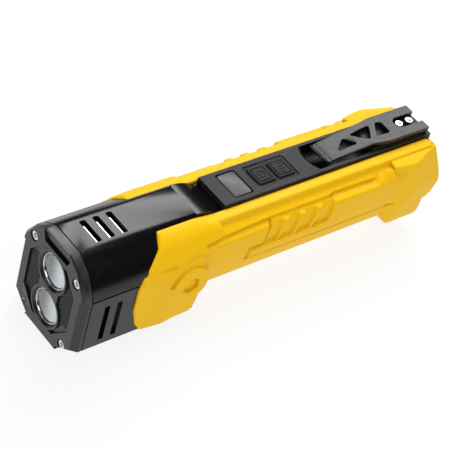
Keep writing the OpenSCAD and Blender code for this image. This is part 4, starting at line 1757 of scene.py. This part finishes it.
@dataclass
class BeltClip:
    """Pierced spring clip: a long arm that flexes, its flared base and two screws."""

    end: float = 200.3
    bend: float = 166.2
    tip: float = 136.2
    top: float = 53.3
    base_thickness: float = 2.65
    slot_front: float = 185.3
    slot_half_width: float = 3.3
    holes: list[list[Point2]] = field(
        default_factory=lambda: [
            [(147.6, 2.9), (159.6, 3.2), (154.9, -2.9)],
            [(158.9, -3.0), (172.2, -4.1), (166.6, 4.0)],
            [(176.4, -4.5), (179.5, -3.9), (179.2, 3.8), (170.5, 3.4)],
        ]
    )

    def profile(self, station: float) -> float:
        """Height of the clip's top face at a station."""
        stations = [136.2, 138.9, 139.9, 140.9, 142.2, 143.8, 166.2, 210]
        heights = [52.8, 50.9, 50.25, 50.15, 50.6, 50.95, 53.3, 53.3]
        return float(np.interp(station, stations, heights))

    def thickness(self, station: float) -> float:
        """Thickness of the clip at a station."""
        return float(
            np.interp(
                station, [160, 166.2, 169.5, 210], [1.0, 1.05, self.base_thickness, self.base_thickness]
            )
        )

    def rounded(self, corners: list[Point2], radius: float) -> list[Point2]:
        """Rounds the corners of an outline.

        Args:
            corners: the outline.
            radius: distance from each corner to where its arc starts.

        Returns:
            The rounded outline.
        """
        points = []
        for i, corner in enumerate(corners):
            at = Vector(corner)
            before, after = Vector(corners[i - 1]), Vector(corners[(i + 1) % len(corners)])
            a = at + (before - at).normalized() * radius
            b = at + (after - at).normalized() * radius
            for t in np.linspace(0, 1, 6):
                spot = a * (1 - t) ** 2 + at * 2 * t * (1 - t) + b * t**2
                points.append((spot.x, spot.y))
        return points

    def plate(self) -> Thing:
        """The flat strip with its holes, one millimetre thick and edges rolled.

        Returns:
            The plate, centred on height nought.
        """
        end, w = self.end, self.slot_half_width
        outline = [
            (self.tip, 3.3), (138.8, 6.1), (self.bend, 7.0), (175.2, 8.4), (end, 8.4), (end, w),
            (190.0, w), (self.slot_front + 2.2, w), (self.slot_front, 1.6), (self.slot_front, -1.6),
            (self.slot_front + 2.2, -w), (190.0, -w), (end, -w), (end, -8.4), (175.2, -8.4),
            (self.bend, -7.0), (138.8, -6.1), (self.tip, -3.3),
        ]
        curve = bpy.data.curves.new("clip_plate", "CURVE")
        curve.dimensions, curve.fill_mode = "2D", "BOTH"
        curve.extrude, curve.bevel_depth, curve.bevel_resolution = 0.38 * MM, 0.12 * MM, 1
        curve.offset = -0.12 * MM
        rings = [self.rounded(outline, 0.35)] + [self.rounded(h, 1.7) for h in self.holes]
        for ring in rings:
            spline = curve.splines.new("POLY")
            spline.points.add(len(ring) - 1)
            for point, (s, y) in zip(spline.points, ring):
                point.co = (x_at(s) * MM, y * MM, 0, 1)
            spline.use_cyclic_u = True
        holder = bpy.data.objects.new("clip_plate", curve)
        bpy.context.scene.collection.objects.link(holder)
        return freeze(holder)

    def build(self) -> None:
        """Bends the plate to the clip's profile and adds its screws."""
        made = self.plate()
        made.name = "belt_clip_spring"
        bm = bmesh.new()
        bm.from_mesh(made.data)
        bmesh.ops.remove_doubles(bm, verts=bm.verts, dist=1e-6)
        stations = [137.5, 138.9, 139.4, 139.9, 140.4, 140.9, 141.5, 142.2, 143, 143.8, 150, 155]
        stations += [160, 162, 164, 165, 166.2, 167, 168, 169.5, 172, 176, 181]
        for station in stations:
            geometry = bm.verts[:] + bm.edges[:] + bm.faces[:]
            bmesh.ops.bisect_plane(
                bm, geom=geometry, dist=1e-7, plane_co=(x_at(station) * MM, 0, 0), plane_no=(1, 0, 0)
            )
        for vert in bm.verts:
            station = LENGTH / 2 - vert.co.x / MM
            depth = (0.5 - vert.co.z / MM) * self.thickness(station)
            vert.co.z = (self.profile(station) - depth) * MM
        for face in bm.faces:
            face.smooth = True
        bmesh.ops.recalc_face_normals(bm, faces=bm.faces)
        bm.to_mesh(made.data)
        bm.free()
        made.data.set_sharp_from_angle(angle=math.radians(28))
        made.data.materials.clear()
        made.data.materials.append(Paint.of(CLIP_STEEL))
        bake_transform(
            made, "lamp", "clip_arm", start=(
                x_at(171) * MM, 0, self.top * MM
            ), end=(x_at(162) * MM, 0, self.top * MM)
        )
        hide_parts("clip_arm", "clip_base")
        log.info("%s: %d faces", made.name, len(made.data.polygons))
        self.fasteners()

    def fasteners(self) -> None:
        """Sets the two clip screws."""
        height = 1.3
        places = [(x_at(s), 0.0, 51.4 + height / 2) for s in (188.4, 194.8)]
        sizes = {
            "Head radius": 1.9 * MM,
            "Head height": height * MM,
            "Socket radius": 1.1 * MM,
            "Socket depth": 0.8 * MM,
            "Turn": (0.0, 0.0, 0.3),
            "Material": Paint.of(SCREW_STEEL),
        }
        made = soften(
            grow("clip_screw_heads", bpy.data.node_groups["socket_screws"], places, sizes), 0.22, angle=40
        )
        dress(made, SCREW_STEEL, nodes=("clip_screws",))


# ---------------------------------------------------------------- inner parts


INNER: dict[str, Finish] = {
    "bezel_gasket": SEAL_RUBBER,
    "lens_seals": SEAL_RUBBER,
    "led_board": BOARD_WHITE,
    "board_screws": SCREW_STEEL,
    "heat_sink": SINK_ALLOY,
    "driver_board": BOARD_GREEN,
    "driver_parts": DARK_PARTS,
    "case_screws": SCREW_STEEL,
    "battery_cradle": CRADLE,
    "battery_cell": CELL_WRAP,
    "contact_front": BRASS,
    "contact_rear": BRASS,
    "switch_board": BOARD_GREEN,
    "tact_switches": SWITCH_STEEL,
    "display_module": DISPLAY_DARK,
}


def dress_inner_parts() -> None:
    """Gives each node that stays its own finish."""
    for name, finish in INNER.items():
        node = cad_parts[name]
        node.data.materials.clear()
        node.data.materials.append(Paint.of(finish))
        log.info("%s: %s", name, finish.name)


# ---------------------------------------------------------------- studio


@dataclass
class Softbox:
    """A square area light aimed at the lamp."""

    name: str
    towards: Point3
    distance: float
    width: float
    height: float
    power: float
    colour: str = "#ffffff"

    def build(self) -> None:
        """Makes the light."""
        data = bpy.data.lights.new(self.name, "AREA")
        data.shape = "RECTANGLE"
        data.size = self.width
        data.size_y = self.height
        data.energy = self.power
        data.color = linear(self.colour)[:3]
        light = bpy.data.objects.new(self.name, data)
        way = Vector(self.towards).normalized()
        light.location = Vector((0, 0, AXIS_HEIGHT * MM)) + way * self.distance
        light.rotation_mode = "QUATERNION"
        light.rotation_quaternion = way.to_track_quat("Z", "Y")
        bpy.context.scene.collection.objects.link(light)


LIGHTS: list[Softbox] = [
    Softbox("back_softbox", (-0.49, -0.5, 0.71), 0.9, 0.8, 0.5, 7.0),
    Softbox("side_fill", (0.15, 0.8, 0.85), 1.0, 0.8, 0.6, 4.9),
    Softbox("top_key", (-0.1, -0.1, 1.0), 1.1, 0.5, 0.5, 3.6),
    Softbox("front_fill", (1.0, -0.15, 0.5), 0.9, 0.5, 0.5, 1.4),
]


@dataclass
class CameraRig:
    """A camera set by the point it looks at, its direction and its roll."""

    target: Point3 = (6.593, -3.125, 20.560)
    azimuth: float = 40.64
    elevation: float = 40.78
    roll: float = -17.38
    distance: float = 694.48
    lens: float = 126.06
    sensor_width: float = 36.0
    nearest: float = 0.01
    farthest: float = 20.0

    def build(self) -> None:
        """Makes the camera and makes it the scene's own."""
        a, e, r = (math.radians(v) for v in (self.azimuth, self.elevation, self.roll))
        back = Vector((math.cos(e) * math.cos(a), math.cos(e) * math.sin(a), math.sin(e)))
        level = (-back).cross(Vector((0, 0, 1))).normalized()
        upright = level.cross(-back)
        up = upright * math.cos(r) + level * math.sin(r)
        right = (-back).cross(up)
        data = bpy.data.cameras.new("camera")
        data.lens = self.lens
        data.sensor_width = self.sensor_width
        data.clip_start = self.nearest
        data.clip_end = self.farthest
        camera = bpy.data.objects.new("camera", data)
        camera.matrix_world = Matrix.Translation((Vector(self.target) + back * self.distance) * MM) @ Matrix(
            (right, up, back)
        ).transposed().to_4x4()
        bpy.context.scene.collection.objects.link(camera)
        bpy.context.scene.camera = camera


@dataclass
class Studio:
    """A pale floor, soft lights and a dim room."""

    floor_size: float = 6.0
    floor_drop_mm: float = 0.05
    floor_colour: str = "#5e5e5e"
    floor_roughness: float = 0.9
    floor_glow: float = 0.86
    room_light: float = 0.02
    seen_light: float = 0.95

    def build(self) -> None:
        """Makes the floor, the lights and the world."""
        scene = bpy.context.scene
        scene.view_settings.view_transform = "Standard"
        half = self.floor_size / 2 / MM
        corners = [
            (x * half, y * half, -self.floor_drop_mm) for x, y in ((-1, -1), (1, -1), (1, 1), (-1, 1))
        ]
        floor = mesh_object("floor", corners, [[0, 1, 2, 3]])
        material = bpy.data.materials.new("white_paper_sweep")
        material.use_nodes = True
        shader = material.node_tree.nodes["Principled BSDF"]
        shader.inputs["Base Color"].default_value = linear(self.floor_colour)
        shader.inputs["Roughness"].default_value = self.floor_roughness
        shader.inputs["Emission Color"].default_value = WHITE
        shader.inputs["Emission Strength"].default_value = self.floor_glow
        floor.data.materials.append(material)
        world = bpy.data.worlds.new("room")
        world.use_nodes = True
        tree = world.node_tree
        tree.nodes.clear()
        path = add_node(tree, "ShaderNodeLightPath")
        room = add_node(tree, "ShaderNodeBackground", {"Color": WHITE, "Strength": self.room_light})
        paper = add_node(tree, "ShaderNodeBackground", {"Color": WHITE, "Strength": self.seen_light})
        both = add_node(
            tree, "ShaderNodeMixShader", {
                0: path.outputs["Is Camera Ray"], 1: room.outputs[0], 2: paper.outputs[0]
            }
        )
        add_node(tree, "ShaderNodeOutputWorld", {"Surface": both.outputs[0]})
        scene.world = world
        for light in LIGHTS:
            light.build()


# ---------------------------------------------------------------- main


def main() -> None:
    """Builds the studio, then each sub-assembly in order."""
    logging.basicConfig(level=logging.INFO, format="%(name)s %(message)s")
    CameraRig().build()
    Studio().build()
    Bezel().build()
    Optics().build()
    for part in MOULDED:
        part.build()
    VentFins().build()
    DisplayCover().build()
    ThumbScoop().build()
    Key("power_key", "power_button", Body.POWER, 105.3).build()
    ModeKey("mode_key", "mode_button", Body.MODE, 116.4).build()
    BeltClip().build()
    ProtectiveSleeve().build()
    dress_inner_parts()


if __name__ == "__main__":
    main()
